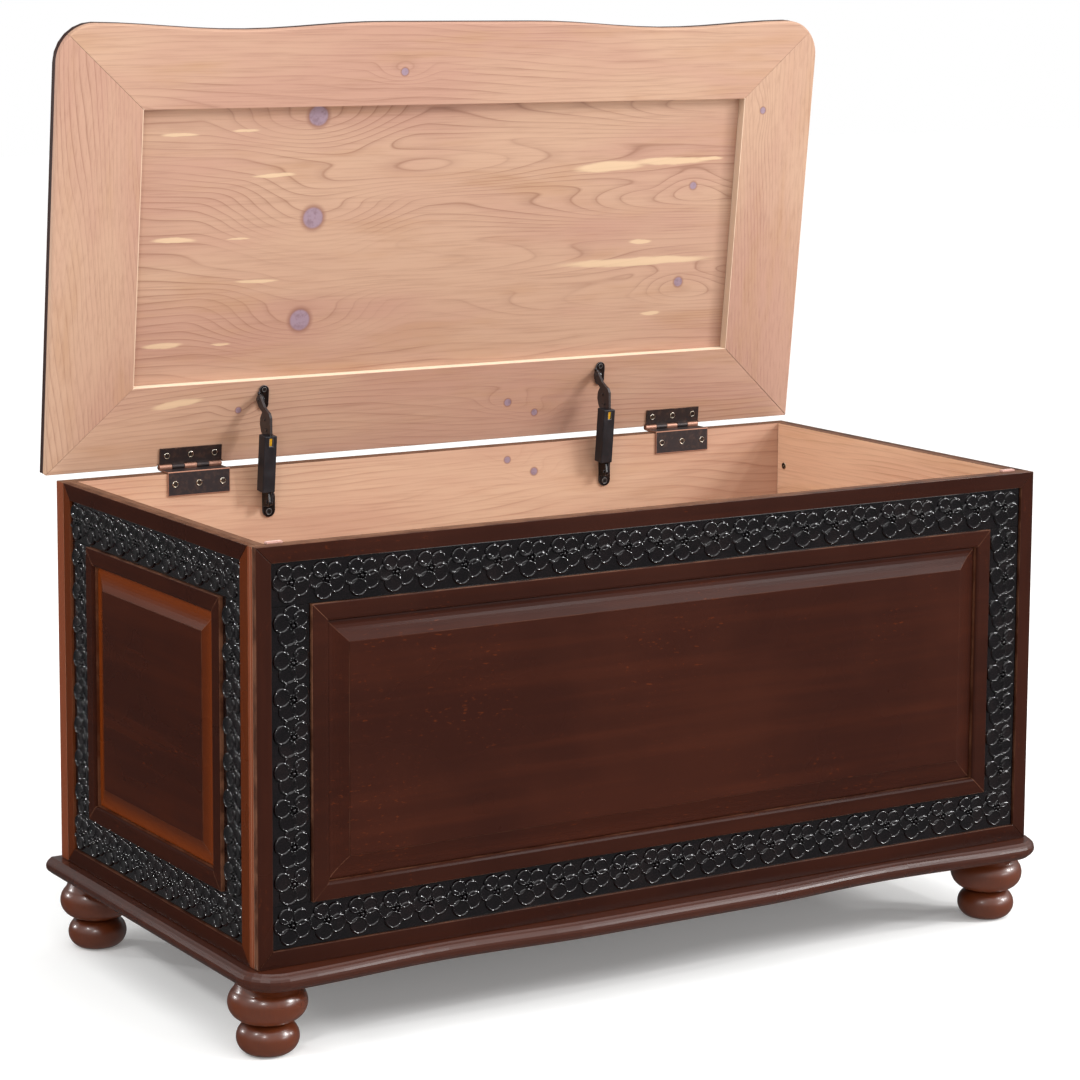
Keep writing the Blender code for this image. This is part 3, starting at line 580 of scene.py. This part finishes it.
# The cedar's marks, as places on the lid: (across, along) and then what cedar takes for a knot, an arch or a
# streak. The back board's are (across, height, radius).
PANEL_KNOTS = (
    (-0.182, 0.401, 0.0125),
    (-0.183, 0.282, 0.0130),
    (-0.194, 0.162, 0.0130),
    (0.347, 0.304, 0.006),
    (0.335, 0.183, 0.007),
)
PANEL_ARCHES = (
    (0.405, 0.398, 0.26, 0.021, 5),
    (0.396, 0.281, 0.26, 0.021, 6),
    (0.390, 0.159, 0.26, 0.021, 6),
    (-0.020, 0.335, 0.20, 0.020, 4),
    (-0.030, 0.215, 0.20, 0.020, 4),
)
PANEL_STREAKS = (
    (0.270, 0.212, 0.105, 0.0050, 0.0),
    (0.222, 0.331, 0.048, 0.0055, -0.03),
    (0.312, 0.336, 0.052, 0.0042, 0.0),
    (-0.356, 0.382, 0.022, 0.0022, 0.0),
    (-0.359, 0.262, 0.026, 0.0030, 0.0),
    (-0.369, 0.141, 0.024, 0.0032, 0.0),
    (-0.236, 0.333, 0.026, 0.0022, 0.03),
    (-0.252, 0.211, 0.026, 0.0020, 0.03),
    (-0.274, 0.385, 0.016, 0.0014, 0.0),
    (-0.278, 0.261, 0.014, 0.0012, 0.0),
    (-0.295, 0.138, 0.012, 0.0010, 0.0),
    (0.370, 0.338, 0.018, 0.0020, 0.0),
    (0.274, 0.237, 0.016, 0.0025, 0.0),
    (0.296, 0.145, 0.014, 0.0022, 0.0),
)
BACK_RAIL_KNOTS = ((0.090, 0.046, 0.0045), (0.129, 0.031, 0.004), (-0.274, 0.061, 0.0035))
BACK_RAIL_STREAKS = ((-0.352, 0.074, 0.030, 0.0042, -0.12),)
FRONT_RAIL_KNOTS = ((-0.078, 0.451, 0.0045),)
RIGHT_RAIL_KNOTS = ((0.436, 0.397, 0.004),)
BACK_BOARD_KNOTS = ((0.079, 0.514, 0.004), (0.117, 0.497, 0.0045))


def lid_marks(marks):
    """Marks given on the lid's face, as places in the model."""
    return [(on_lid(mark[0], mark[1]), *mark[2:]) for mark in marks]


def paint_cedar():
    """The lining: the box's boards, and the lid's rails and panel."""
    marks = map(lid_marks, (PANEL_KNOTS, PANEL_STREAKS, PANEL_ARCHES))
    paint("lid_cedar_panel", cedar("panel_cedar", "X", 1, *marks))
    for place, grain, seed, knots, streaks, rings in (
        ("back", "X", 2, BACK_RAIL_KNOTS, BACK_RAIL_STREAKS, 150),
        ("front", "X", 3, FRONT_RAIL_KNOTS, (), 150),
        ("left", "Z", 4, (), (), 170),
        ("right", "Z", 5, RIGHT_RAIL_KNOTS, (), 170),
    ):
        marks = map(lid_marks, (knots, streaks))
        rail = cedar(f"{place}_rail_cedar", grain, seed, *marks, rings=rings, edges=lid_edges)
        paint(f"lid_rail_{place}", rail)
    back_knots = [
        (Vector((across, INSIDE_BACK, height)), radius) for across, height, radius in BACK_BOARD_KNOTS
    ]
    for node, grain, seed, knots, rings, edges, tones in (
        ("back_board", "X", 6, back_knots, 95, board_edges, LINING_TONES),
        ("front_wall_board", "X", 7, (), 110, board_edges, LINING_TONES),
        # The short walls' lighter tones are painted light.
        ("left_wall_board", "Y", 8, (), 110, board_edges, SHORT_WALL_LIT_TONES),
        ("right_wall_board", "Y", 9, (), 110, board_edges, SHORT_WALL_LIT_TONES),
        ("bottom_board", "X", 10, (), 110, None, LINING_TONES),
    ):
        paint(node, cedar(f"{node}_cedar", grain, seed, knots, rings=rings, edges=edges, tones=tones))


def paint_fittings():
    """The hinges and the lid stays."""
    plate = bronze("hinge_bronze", colour(44, 36, 36), colour(66, 50, 44), 0.5, 0.36)
    knuckled = bronze("box_leaf_bronze", colour(48, 42, 44), colour(70, 56, 52), 0.5, 0.36, box_leaf_wear)
    copper = bronze("worn_copper", colour(150, 100, 78), colour(196, 148, 124), 0.9, 0.3)
    housing = painted_steel("housing_steel", colour(30, 30, 34), 0.38)
    link = painted_steel("link_steel", colour(48, 42, 42), 0.34)
    bracket = painted_steel("bracket_steel", colour(16, 15, 17), 0.14)
    # The stays' rounded edges take a light grey: a painted highlight.
    worn_and_highlight = painted_steel("stay_edge_highlight_steel", colour(128, 128, 134), 0.3)
    for side in SIDES:
        for leaf, material in (("box_leaf", knuckled), ("lid_leaf", plate)):
            paint(f"hinge_{side}_{leaf}", material)
            soften(f"hinge_{side}_{leaf}", 0.4 * MM, copper)
        paint(f"hinge_{side}_pin", copper)
        for part, material in (
            ("housing", housing),
            ("link", link),
            ("lid_bracket", bracket),
            ("box_bracket", bracket),
        ):
            paint(f"stay_{side}_{part}", material)
            soften(f"stay_{side}_{part}", 0.35 * MM, worn_and_highlight)


# Pieces made here.
def add_piece(name, shape, material, body):
    """A new piece from a bmesh, with sharp edges where its smooth faces meet at a steep angle."""
    mesh = bpy.data.meshes.new(name)
    shape.to_mesh(mesh)
    shape.free()
    mesh.set_sharp_from_angle(angle=SMOOTH_ANGLE)
    mesh.materials.append(material)
    piece = bpy.data.objects.new(name, mesh)
    bpy.context.scene.collection.objects.link(piece)
    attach(piece, body)
    return piece


def lathe(shape, profile, steps):
    """Turns (radius, height) points about Z into a surface of a bmesh. A radius of 0 makes one point."""
    around = [2 * math.pi * step / steps for step in range(steps)]
    rings = []
    for radius, height in profile:
        angles = around if radius else [0]
        ring = [(radius * math.cos(angle), radius * math.sin(angle), height) for angle in angles]
        rings.append([shape.verts.new(point) for point in ring])
    for lower, upper in zip(rings, rings[1:]):
        for step in range(steps):
            corners = [lower[step % len(lower)], lower[(step + 1) % len(lower)]]
            corners += [upper[(step + 1) % len(upper)], upper[step % len(upper)]]
            shape.faces.new(list(dict.fromkeys(corners))).smooth = True
    return [vert for ring in rings for vert in ring]


FLOWER_RADIUS = 19.5 * MM
PETAL_STEPS = 24
BEAD_STEPS = 8
# Share of the petal's radius, and height in mm above the strip's ground, from its middle out and down.
PETAL_PROFILE = (
    (0, 1.0),
    (0.55, 1.05),
    (0.75, 1.3),
    (0.81, 2.1),
    (0.85, 2.3),
    (0.9, 2.15),
    (0.96, 1.65),
    (1.02, 0.95),
    (1.05, -0.4),
)
# Each petal's direction in degrees, its distance and radius as shares of the flower's, and its lift in mm.
PETALS = (
    (123, 0.60, 0.43, 0.15),
    (37, 0.64, 0.45, 0.3),
    (-24, 0.67, 0.50, 0.0),
    (-105, 0.62, 0.49, 0.35),
    (180, 0.62, 0.44, -0.25),
)
PETAL_TILT = 0.05
PETAL_WIDENING = 0.08
FLOWER_SHIFT = (-1.0 * MM, 1.5 * MM)
BEAD_RADIUS = 1.15 * MM
BEAD_RING = 0.23
BEADS = 8
CENTRE_BEAD = 1.7
BEAD_BASE = 3.0 * MM
BEAD_PROFILE = ((0, 1.0), (0.5, 0.87), (0.87, 0.5), (1.0, 0), (1.0, -1.6))


def add_petal(shape, direction, distance, radius, lift):
    """One dished petal with a raised rim, its walls running down into the strip."""
    reach = radius * FLOWER_RADIUS
    profile = [(share * reach, (height + lift) * MM) for share, height in PETAL_PROFILE]
    verts = lathe(shape, profile, PETAL_STEPS)
    angle = math.radians(direction)
    shift = Vector((math.cos(angle), math.sin(angle), 0)) * distance * FLOWER_RADIUS
    tangent = Vector((-math.sin(angle), math.cos(angle), 0))
    for vert in verts:
        sideways = vert.co.dot(tangent)
        vert.co += tangent * sideways * PETAL_WIDENING
        vert.co.z += PETAL_TILT * sideways
        vert.co += shift


def flower_mesh():
    """A five-petalled flower round the Z axis, with a ring of beads about a larger one at its middle."""
    shape = bmesh.new()
    for petal in PETALS:
        add_petal(shape, *petal)
    for number in range(BEADS + 1):
        central = number == BEADS
        size = BEAD_RADIUS * (CENTRE_BEAD if central else 1)
        reach = 0 if central else BEAD_RING * FLOWER_RADIUS
        angle = 2 * math.pi * number / BEADS
        profile = [(radius * size, BEAD_BASE + height * size) for radius, height in BEAD_PROFILE]
        bead = lathe(shape, profile, BEAD_STEPS)
        place = (reach * math.cos(angle), reach * math.sin(angle), 0)
        bmesh.ops.translate(shape, vec=place, verts=bead)
    bmesh.ops.recalc_face_normals(shape, faces=shape.faces)
    bmesh.ops.translate(shape, vec=(*FLOWER_SHIFT, 0), verts=shape.verts)
    mesh = bpy.data.meshes.new("flower")
    shape.to_mesh(mesh)
    shape.free()
    return mesh


GROUND_DEPTH = 1.4 * MM
STRIP_ROUND = 0.6 * MM
# How many flowers, and the space between them and from the strip's end to the first, for the front's and the
# sides' long strips and for every upright one.
FRONT_RUN = {"count": 12, "pitch": 40.25 * MM, "first": 23 * MM, "halves": 2}
RISE = {"count": 8, "pitch": 38 * MM, "first": 20.8 * MM, "halves": 1}
SIDE_RUN = {"count": 11, "pitch": 38.75 * MM, "first": 17.15 * MM, "halves": 1}


def flower_places(length, count, pitch, first, halves):
    """Distances of the flowers from a strip's middle. A strip of two halves is set out from both ends."""
    from_end = [-length / 2 + first + number * pitch for number in range(count)]
    return from_end + [-place for place in from_end] if halves == 2 else from_end


def carved_strip(node, outward, flower, material):
    """A carved strip in place of a plain CAD one: a ground set back, and flowers standing on it."""
    low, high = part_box(node)
    centre = (low + high) / 2
    right = Vector((0, 0, 1)).cross(outward)
    width = abs((high - low).dot(right))
    height = high.z - low.z
    thick = abs((high - low).dot(outward))
    to_world = Matrix((right, Vector((0, 0, 1)), outward)).transposed().to_4x4()
    to_world.translation = centre + outward * (thick / 2 - GROUND_DEPTH)
    shape = bmesh.new()
    upright = height > width
    run = FRONT_RUN if node.startswith("front") else SIDE_RUN
    for place in flower_places(max(width, height), **(RISE if upright else run)):
        start = len(shape.verts)
        shape.from_mesh(flower)
        shape.verts.ensure_lookup_table()
        added = shape.verts[start:]
        if upright:
            bmesh.ops.rotate(shape, matrix=Matrix.Rotation(-math.pi / 2, 3, "Z"), verts=added)
        bmesh.ops.translate(shape, vec=(0, place, 0) if upright else (place, 0, 0), verts=added)
    plate = bmesh.ops.create_cube(shape, size=1)["verts"]
    bmesh.ops.scale(shape, vec=(width, height, thick - GROUND_DEPTH), verts=plate)
    bmesh.ops.translate(shape, vec=(0, 0, -(thick - GROUND_DEPTH) / 2), verts=plate)
    edges = list({edge for vert in plate for edge in vert.link_edges})
    bmesh.ops.bevel(shape, geom=edges, offset=STRIP_ROUND, segments=2, affect="EDGES")
    shape.transform(to_world)
    piece = add_piece(f"{node}_relief", shape, material, "chest")
    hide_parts(node)


def carve_borders():
    """The twelve carved strips of the three framed faces."""
    flower = flower_mesh()
    material = dark_carving()
    outward = {"front": Vector((0, -1, 0)), "left": Vector((-1, 0, 0)), "right": Vector((1, 0, 0))}
    for face in FACES:
        for edge in ("top", "bottom", "left", "right"):
            carved_strip(f"{face}_carved_strip_{edge}", outward[face], flower, material)


FOOT_STEPS = 72
FOOT_SOLE = 16.5 * MM
# Each bun in mm: its arc's centre radius, bulge, middle height and half height, and first and last degree.
FOOT_BUNS = ((14.5, 18.3, 17.5, 17.8, -62, 66), (18.5, 23.0, 54.5, 20.5, -68, 45))
BUN_STEPS = 20
# (radius, height) from the upper bun to the base board.
FOOT_NECK = ((33 * MM, 75 * MM), (30 * MM, 78.7 * MM), (0, 78.7 * MM))


def turn_feet():
    """The four bun feet, turned smoothly in place of the plain CAD ones."""
    profile = [(0, 0), (FOOT_SOLE, 0)]
    for centre, bulge, middle, half_height, first, last in FOOT_BUNS:
        for step in range(BUN_STEPS + 1):
            angle = math.radians(first + (last - first) * step / BUN_STEPS)
            radius = centre + bulge * math.cos(angle)
            profile.append((radius * MM, (middle + half_height * math.sin(angle)) * MM))
    profile += FOOT_NECK
    material = stained_wood("foot_stain", "Z", 10, orange=0.5, shine=4.0)
    for place in ("front_left", "front_right", "back_left", "back_right"):
        low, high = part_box(f"foot_{place}")
        shape = bmesh.new()
        lathe(shape, profile, FOOT_STEPS)
        bmesh.ops.recalc_face_normals(shape, faces=shape.faces)
        middle = (low + high) / 2
        bmesh.ops.translate(shape, vec=(middle.x, middle.y, low.z), verts=shape.verts)
        foot = add_piece(f"turned_foot_{place}", shape, material, "chest")
        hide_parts(f"foot_{place}")


# Screws: a nearly flat head of radius 1 with a raised rim and a cross recess, facing +Z.
HEAD_PROFILE = ((0, 0.14), (0.5, 0.14), (0.78, 0.12), (0.86, 0.16), (0.92, 0.13), (1.0, 0.0), (1.0, -0.1))
RIM_SHARE = 0.79
HEAD_STEPS = 32
CROSS_LENGTH = 0.55
CROSS_WIDTH = 0.13
CROSS_DEPTH = 0.2


def cross_cutter():
    """Two crossed blocks that narrow towards the bottom of the recess, for a head of radius 1."""
    shape = bmesh.new()
    for turn in (0, math.pi / 2):
        block = bmesh.ops.create_cube(shape, size=1)["verts"]
        for vert in block:
            narrow = 0.6 if vert.co.z < 0 else 1
            vert.co.x *= 2 * CROSS_LENGTH * narrow
            vert.co.y *= 2 * CROSS_WIDTH * narrow
            vert.co.z += 0.5 + HEAD_PROFILE[0][1] - CROSS_DEPTH
        bmesh.ops.rotate(shape, matrix=Matrix.Rotation(turn, 3, "Z"), verts=block)
    return shape


def plain_object(name, shape):
    """An object made from a bmesh, which it frees."""
    mesh = bpy.data.meshes.new(name)
    shape.to_mesh(mesh)
    shape.free()
    made = bpy.data.objects.new(name, mesh)
    bpy.context.scene.collection.objects.link(made)
    return made


def screw_head_mesh():
    """The mesh of a head of radius 1 with its recess cut."""
    shape = bmesh.new()
    lathe(shape, HEAD_PROFILE, HEAD_STEPS)
    shape.faces.new(shape.verts[-HEAD_STEPS:])
    bmesh.ops.recalc_face_normals(shape, faces=shape.faces)
    head = plain_object("head", shape)
    cutter = plain_object("cutter", cross_cutter())
    cut = head.modifiers.new("cut", "BOOLEAN")
    cut.operation = "DIFFERENCE"
    cut.solver = "EXACT"
    cut.use_self = True
    cut.object = cutter
    graph = bpy.context.evaluated_depsgraph_get()
    mesh = bpy.data.meshes.new_from_object(head.evaluated_get(graph))
    bpy.data.objects.remove(head)
    bpy.data.objects.remove(cutter)
    return mesh


def add_screw(name, head, place, outward, radius, materials, body, turn=0.4):
    """A screw head on a surface at place, facing outward. materials are its face's and its rim's."""
    shape = bmesh.new()
    shape.from_mesh(head)
    for face in shape.faces:
        middle = face.calc_center_median()
        face.material_index = int(math.hypot(middle.x, middle.y) > RIM_SHARE)
    facing = outward.to_track_quat("Z", "Y").to_matrix().to_4x4()
    spin = Matrix.Rotation(turn, 4, "Z")
    shape.transform(Matrix.Translation(place) @ facing @ spin @ Matrix.Scale(radius, 4))
    add_piece(name, shape, materials[0], body).data.materials.append(materials[1])


# Radii of the screws, and their places: along the lid or up the box, and in from a plate's right edge.
HINGE_SCREW = 3.7 * MM
STAY_SCREW = 3.9 * MM
PAD_SCREW = 3.0 * MM
CORNER_SCREW = 4.5 * MM
HINGE_SCREW_SPACING = 30 * MM
LEAF_SCREW_ALONG = 13.6 * MM
LEAF_SCREW_HEIGHT = 519 * MM
PAD_SCREW_ALONG = 84.0 * MM
PAD_SCREW_IN = 6.2 * MM
BOX_SCREW_HEIGHT = 478 * MM
BOX_SCREW_IN = 8 * MM
CORNER_SCREW_Y = 215 * MM
# Depths of the surfaces they stand on. The heads on a lid leaf are set into it, to clear the other leaf.
LID_LEAF_FACE = 0.2 * MM - LEAF_THICK
LID_PAD_FACE = -2.3 * MM
BOX_PLATE_FACE = INSIDE_BACK - 2.3 * MM
FORWARD = Vector((0, -1, 0))
LEFTWARD = Vector((-1, 0, 0))


def add_hinge_screws(side, head, materials):
    """Three screws in each leaf of a hinge."""
    low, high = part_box(f"hinge_{side}_lid_leaf")
    middle = (low.x + high.x) / 2
    leaf_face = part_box(f"hinge_{side}_box_leaf")[0].y
    for number, offset in enumerate((-HINGE_SCREW_SPACING, 0, HINGE_SCREW_SPACING)):
        turn = 0.3 + 0.7 * number
        on_leaf = on_lid(middle + offset, LEAF_SCREW_ALONG, LID_LEAF_FACE)
        on_box = Vector((middle + offset, leaf_face, LEAF_SCREW_HEIGHT))
        for body, part, place, outward in (
            ("lid", "lid", on_leaf, -LID_INTO),
            ("chest", "box", on_box, FORWARD),
        ):
            name = f"hinge_{side}_{part}_screw_{number + 1}"
            add_screw(name, head, place, outward, HINGE_SCREW, materials, body, turn)


def add_stay_screws(side, head, materials):
    """A screw in a stay's lid bracket and in its box bracket."""
    pad_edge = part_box(f"stay_{side}_lid_bracket")[1].x
    on_pad = on_lid(pad_edge - PAD_SCREW_IN, PAD_SCREW_ALONG, LID_PAD_FACE)
    plate_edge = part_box(f"stay_{side}_box_bracket")[1].x
    on_plate = Vector((plate_edge - BOX_SCREW_IN, BOX_PLATE_FACE, BOX_SCREW_HEIGHT))
    for body, part, place, outward, radius in (
        ("lid", "lid", on_pad, -LID_INTO, PAD_SCREW),
        ("chest", "box", on_plate, FORWARD, STAY_SCREW),
    ):
        name = f"stay_{side}_{part}_screw"
        add_screw(name, head, place, outward, radius, materials, body)


def add_fasteners():
    """The hinges' and the stays' screws, and the one in the right-hand end board."""
    head = screw_head_mesh()
    dull = bronze("screw_bronze", colour(48, 42, 40), colour(92, 78, 64), 0.7, 0.34)
    metal = (dull, bright_steel())
    black_face = painted_steel("screw_black", colour(34, 32, 32), 0.2)
    black_rim = painted_steel("screw_rim", colour(90, 88, 88), 0.25)
    for side in SIDES:
        add_hinge_screws(side, head, metal)
        add_stay_screws(side, head, (black_face, black_rim))
    place = Vector((INSIDE_END, CORNER_SCREW_Y, BOX_SCREW_HEIGHT))
    add_screw("end_board_screw", head, place, LEFTWARD, CORNER_SCREW, metal, "chest")


def rounded_block(size, rounding):
    """A block about the origin with rounded edges."""
    shape = bmesh.new()
    block = bmesh.ops.create_cube(shape, size=1)["verts"]
    bmesh.ops.scale(shape, vec=size, verts=block)
    bmesh.ops.bevel(shape, geom=shape.edges[:], offset=rounding, segments=2, affect="EDGES")
    for face in shape.faces:
        face.smooth = True
    return shape


# The insert's middle from the stay's elbow: across, up the housing and out to its front.
HOUSING_FRONT = 7.75 * MM
INSERT_PLACE = (-1.1 * MM, 1.5 * MM, HOUSING_FRONT - 0.85 * MM)
INSERT_SIZE = (4.4 * MM, 9.4 * MM, 0.6 * MM)
INSERT_ROUNDING = 0.18 * MM
INSERT_SLOPE = 0.12


def add_inserts():
    """The yellow plastic insert in each stay's window, lower and sloping back towards its bottom end."""
    plastic = yellow_plastic()
    up = (STAY_ELBOW - STAY_FOOT).normalized()
    outward = Vector((1, 0, 0)).cross(up)
    turned = Matrix((Vector((1, 0, 0)), up, outward)).transposed().to_4x4()
    for side in SIDES:
        shape = rounded_block(INSERT_SIZE, INSERT_ROUNDING)
        for vert in shape.verts:
            if vert.co.y < 0:
                vert.co.z += INSERT_SLOPE * vert.co.y
        origin = STAY_ELBOW + Vector((STAY_LINK_X[side], 0, 0))
        shape.transform(Matrix.Translation(origin) @ turned @ Matrix.Translation(INSERT_PLACE))
        add_piece(f"stay_{side}_insert", shape, plastic, f"stay_{side}_arm")


RIVET_PROFILE = ((0, 0.35 * MM), (1.1 * MM, 0.33 * MM), (1.7 * MM, 0.12 * MM), (1.8 * MM, -0.1 * MM))
RIVET_STEPS = 20
LINK_FACE = -1.5 * MM
# Places of the rivets on the link, (back, up) from its elbow.
RIVETS = ((-3.0 * MM, 14 * MM), (-4.5 * MM, 26 * MM))


def add_rivets():
    """The flat rivets in each stay's link."""
    material = painted_steel("rivet_steel", colour(34, 32, 34), 0.16)
    up = (STAY_HEAD - STAY_ELBOW).normalized()
    back = up.cross(Vector((1, 0, 0)))
    facing = LEFTWARD.to_track_quat("Z", "Y").to_matrix().to_4x4()
    for side in SIDES:
        for number, (behind, above) in enumerate(RIVETS):
            shape = bmesh.new()
            lathe(shape, RIVET_PROFILE, RIVET_STEPS)
            place = STAY_ELBOW + behind * back + above * up
            place.x = STAY_LINK_X[side] + LINK_FACE
            shape.transform(Matrix.Translation(place) @ facing)
            name = f"stay_{side}_rivet_{number + 1}"
            add_piece(name, shape, material, f"stay_{side}_link")


BUMPER_SIZE = (19 * MM, 7 * MM, 2.6 * MM)
BUMPER_ROUNDING = 0.9 * MM
BUMPER_X = INSIDE_END - BUMPER_SIZE[0] / 2
BUMPER_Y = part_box("front_wall_board")[1].y - BUMPER_SIZE[1] / 2


def add_bumpers():
    """The felt pads on the rim's front corners, which the lid closes on."""
    material = felt()
    for side, across in zip(SIDES, (-BUMPER_X, BUMPER_X)):
        shape = rounded_block(BUMPER_SIZE, BUMPER_ROUNDING)
        place = (across, BUMPER_Y, RIM + BUMPER_SIZE[2] / 2)
        bmesh.ops.translate(shape, vec=place, verts=shape.verts)
        add_piece(f"bumper_{side}", shape, material, "chest")


# The floor, lights and camera.
FLOOR_SIZE = 30
FLOOR_GLOW = 0.16
PALE = colour(246, 246, 245)
CHEST_MIDDLE = Vector((0, 0, 0.45))
# Each lamp's kind, name, place and power, and a softbox's width and height or a sun's angle.
LAMPS = (
    ("SUN", "key", (3.2, -2.6, 2.7), 1.55, math.radians(12)),
    ("AREA", "front_low", (1.8, -2.9, 1.0), 16, (1.2, 0.4)),
    ("AREA", "top", (-0.4, -0.8, 3.4), 45, (3.5, 3.0)),
)
# Small bright lamps, which show as white glints in the lacquer.
GLINTS = {
    "right": (3.0, -1.3, 1.3),
    "right_high": (2.0, -1.9, 2.4),
    "left_back": (-2.3, 2.4, 1.1),
    "left_high": (-2.7, -0.5, 2.4),
    "front_high": (-2.2, -2.2, 2.1),
}
GLINT_SIZE = (0.2, 0.2)
GLINT_POWER = 17
# The room's light at the horizon and overhead, the share of it that is left behind the chest, and where a
# direction's height and depth make each go from the one to the other.
HORIZON_LIGHT = 0.2
SKY_LIGHT = 0.95
BEHIND_SHARE = 0.5
SKY_HEIGHTS = (-0.05, 0.5)
BEHIND_DEPTHS = (0.1, 0.6)


def add_floor():
    """White paper that glows a little, so that no horizon shows."""
    mesh = bmesh.new()
    bmesh.ops.create_grid(mesh, x_segments=1, y_segments=1, size=FLOOR_SIZE / 2)
    floor = plain_object("floor", mesh)
    graph = Graph("floor_paper")
    graph.set(
        Base_Color=PALE,
        Roughness=0.9,
        Specular_IOR_Level=0.1,
        Emission_Color=PALE,
        Emission_Strength=FLOOR_GLOW,
    )
    floor.data.materials.append(graph.material)
    floor.visible_glossy = False


def add_lamp(kind, name, place, power, size):
    """A lamp that faces the chest. size is a softbox's width and height, or a sun's angle."""
    light = bpy.data.lights.new(name, kind)
    light.energy = power
    if kind == "SUN":
        light.angle = size
    else:
        light.shape = "RECTANGLE"
        light.size, light.size_y = size
    lamp = bpy.data.objects.new(name, light)
    lamp.location = place
    lamp.rotation_euler = (CHEST_MIDDLE - Vector(place)).to_track_quat("-Z", "Y").to_euler()
    bpy.context.scene.collection.objects.link(lamp)


def add_lights():
    """A key from the camera's right, a low front light, a wide top light, and lamps for the glints."""
    for lamp in LAMPS:
        add_lamp(*lamp)
    for name, place in GLINTS.items():
        add_lamp("AREA", f"glint_{name}", place, GLINT_POWER, GLINT_SIZE)


def map_range(tree, value, span, ends, interpolation="LINEAR"):
    """A node that goes from the first of ends to the second as value crosses span, and holds beyond it."""
    node = tree.nodes.new("ShaderNodeMapRange")
    node.interpolation_type = interpolation
    tree.links.new(value, node.inputs["Value"])
    for key, number in zip(("From Min", "From Max", "To Min", "To Max"), (*span, *ends)):
        node.inputs[key].default_value = number
    return node


def add_world():
    """A pale room, darker at the horizon and behind the chest, which the camera sees as plain white."""
    world = bpy.data.worlds.new("studio")
    bpy.context.scene.world = world
    world.use_nodes = True
    tree = world.node_tree
    direction = tree.nodes.new("ShaderNodeSeparateXYZ")
    tree.links.new(tree.nodes.new("ShaderNodeTexCoord").outputs["Generated"], direction.inputs[0])
    height, depth = direction.outputs["Z"], direction.outputs["Y"]
    room = map_range(tree, height, SKY_HEIGHTS, (HORIZON_LIGHT, SKY_LIGHT), "SMOOTHSTEP")
    behind = map_range(tree, depth, BEHIND_DEPTHS, (1, BEHIND_SHARE))
    shaded = tree.nodes.new("ShaderNodeMath")
    shaded.operation = "MULTIPLY"
    tree.links.new(room.outputs[0], shaded.inputs[0])
    tree.links.new(behind.outputs[0], shaded.inputs[1])
    seen = tree.nodes.new("ShaderNodeLightPath").outputs["Is Camera Ray"]
    strength = map_range(tree, seen, (0, 1), (0, 1))
    tree.links.new(shaded.outputs[0], strength.inputs["To Min"])
    backdrop = tree.nodes["Background"]
    backdrop.inputs["Color"].default_value = (1, 1, 1, 1)
    tree.links.new(strength.outputs[0], backdrop.inputs["Strength"])


def add_camera():
    """The camera, turned about Z, then tilted and rolled."""
    ahead = Vector((math.sin(CAMERA_TURN), math.cos(CAMERA_TURN), 0))
    right = Vector((math.cos(CAMERA_TURN), -math.sin(CAMERA_TURN), 0))
    up = Vector((0, 0, 1))
    looking = math.cos(CAMERA_TILT) * ahead + math.sin(CAMERA_TILT) * up
    tilted = math.cos(CAMERA_TILT) * up - math.sin(CAMERA_TILT) * ahead
    level = math.cos(CAMERA_ROLL) * right + math.sin(CAMERA_ROLL) * tilted
    upright = math.cos(CAMERA_ROLL) * tilted - math.sin(CAMERA_ROLL) * right
    turned = Matrix((level, upright, -looking)).transposed().to_4x4()
    data = bpy.data.cameras.new("camera")
    data.lens = CAMERA_LENS
    data.sensor_width = CAMERA_SENSOR
    data.shift_y = CAMERA_SHIFT_Y
    data.clip_end = CAMERA_REACH
    camera = bpy.data.objects.new("camera", data)
    camera.matrix_world = Matrix.Translation(CAMERA_PLACE) @ turned
    bpy.context.scene.collection.objects.link(camera)
    bpy.context.scene.camera = camera


bpy.context.scene.view_settings.view_transform = "Standard"
paint_outside()
paint_cedar()
paint_fittings()
carve_borders()
turn_feet()
add_fasteners()
add_inserts()
add_rivets()
add_bumpers()
add_floor()
add_lights()
add_world()
add_camera()
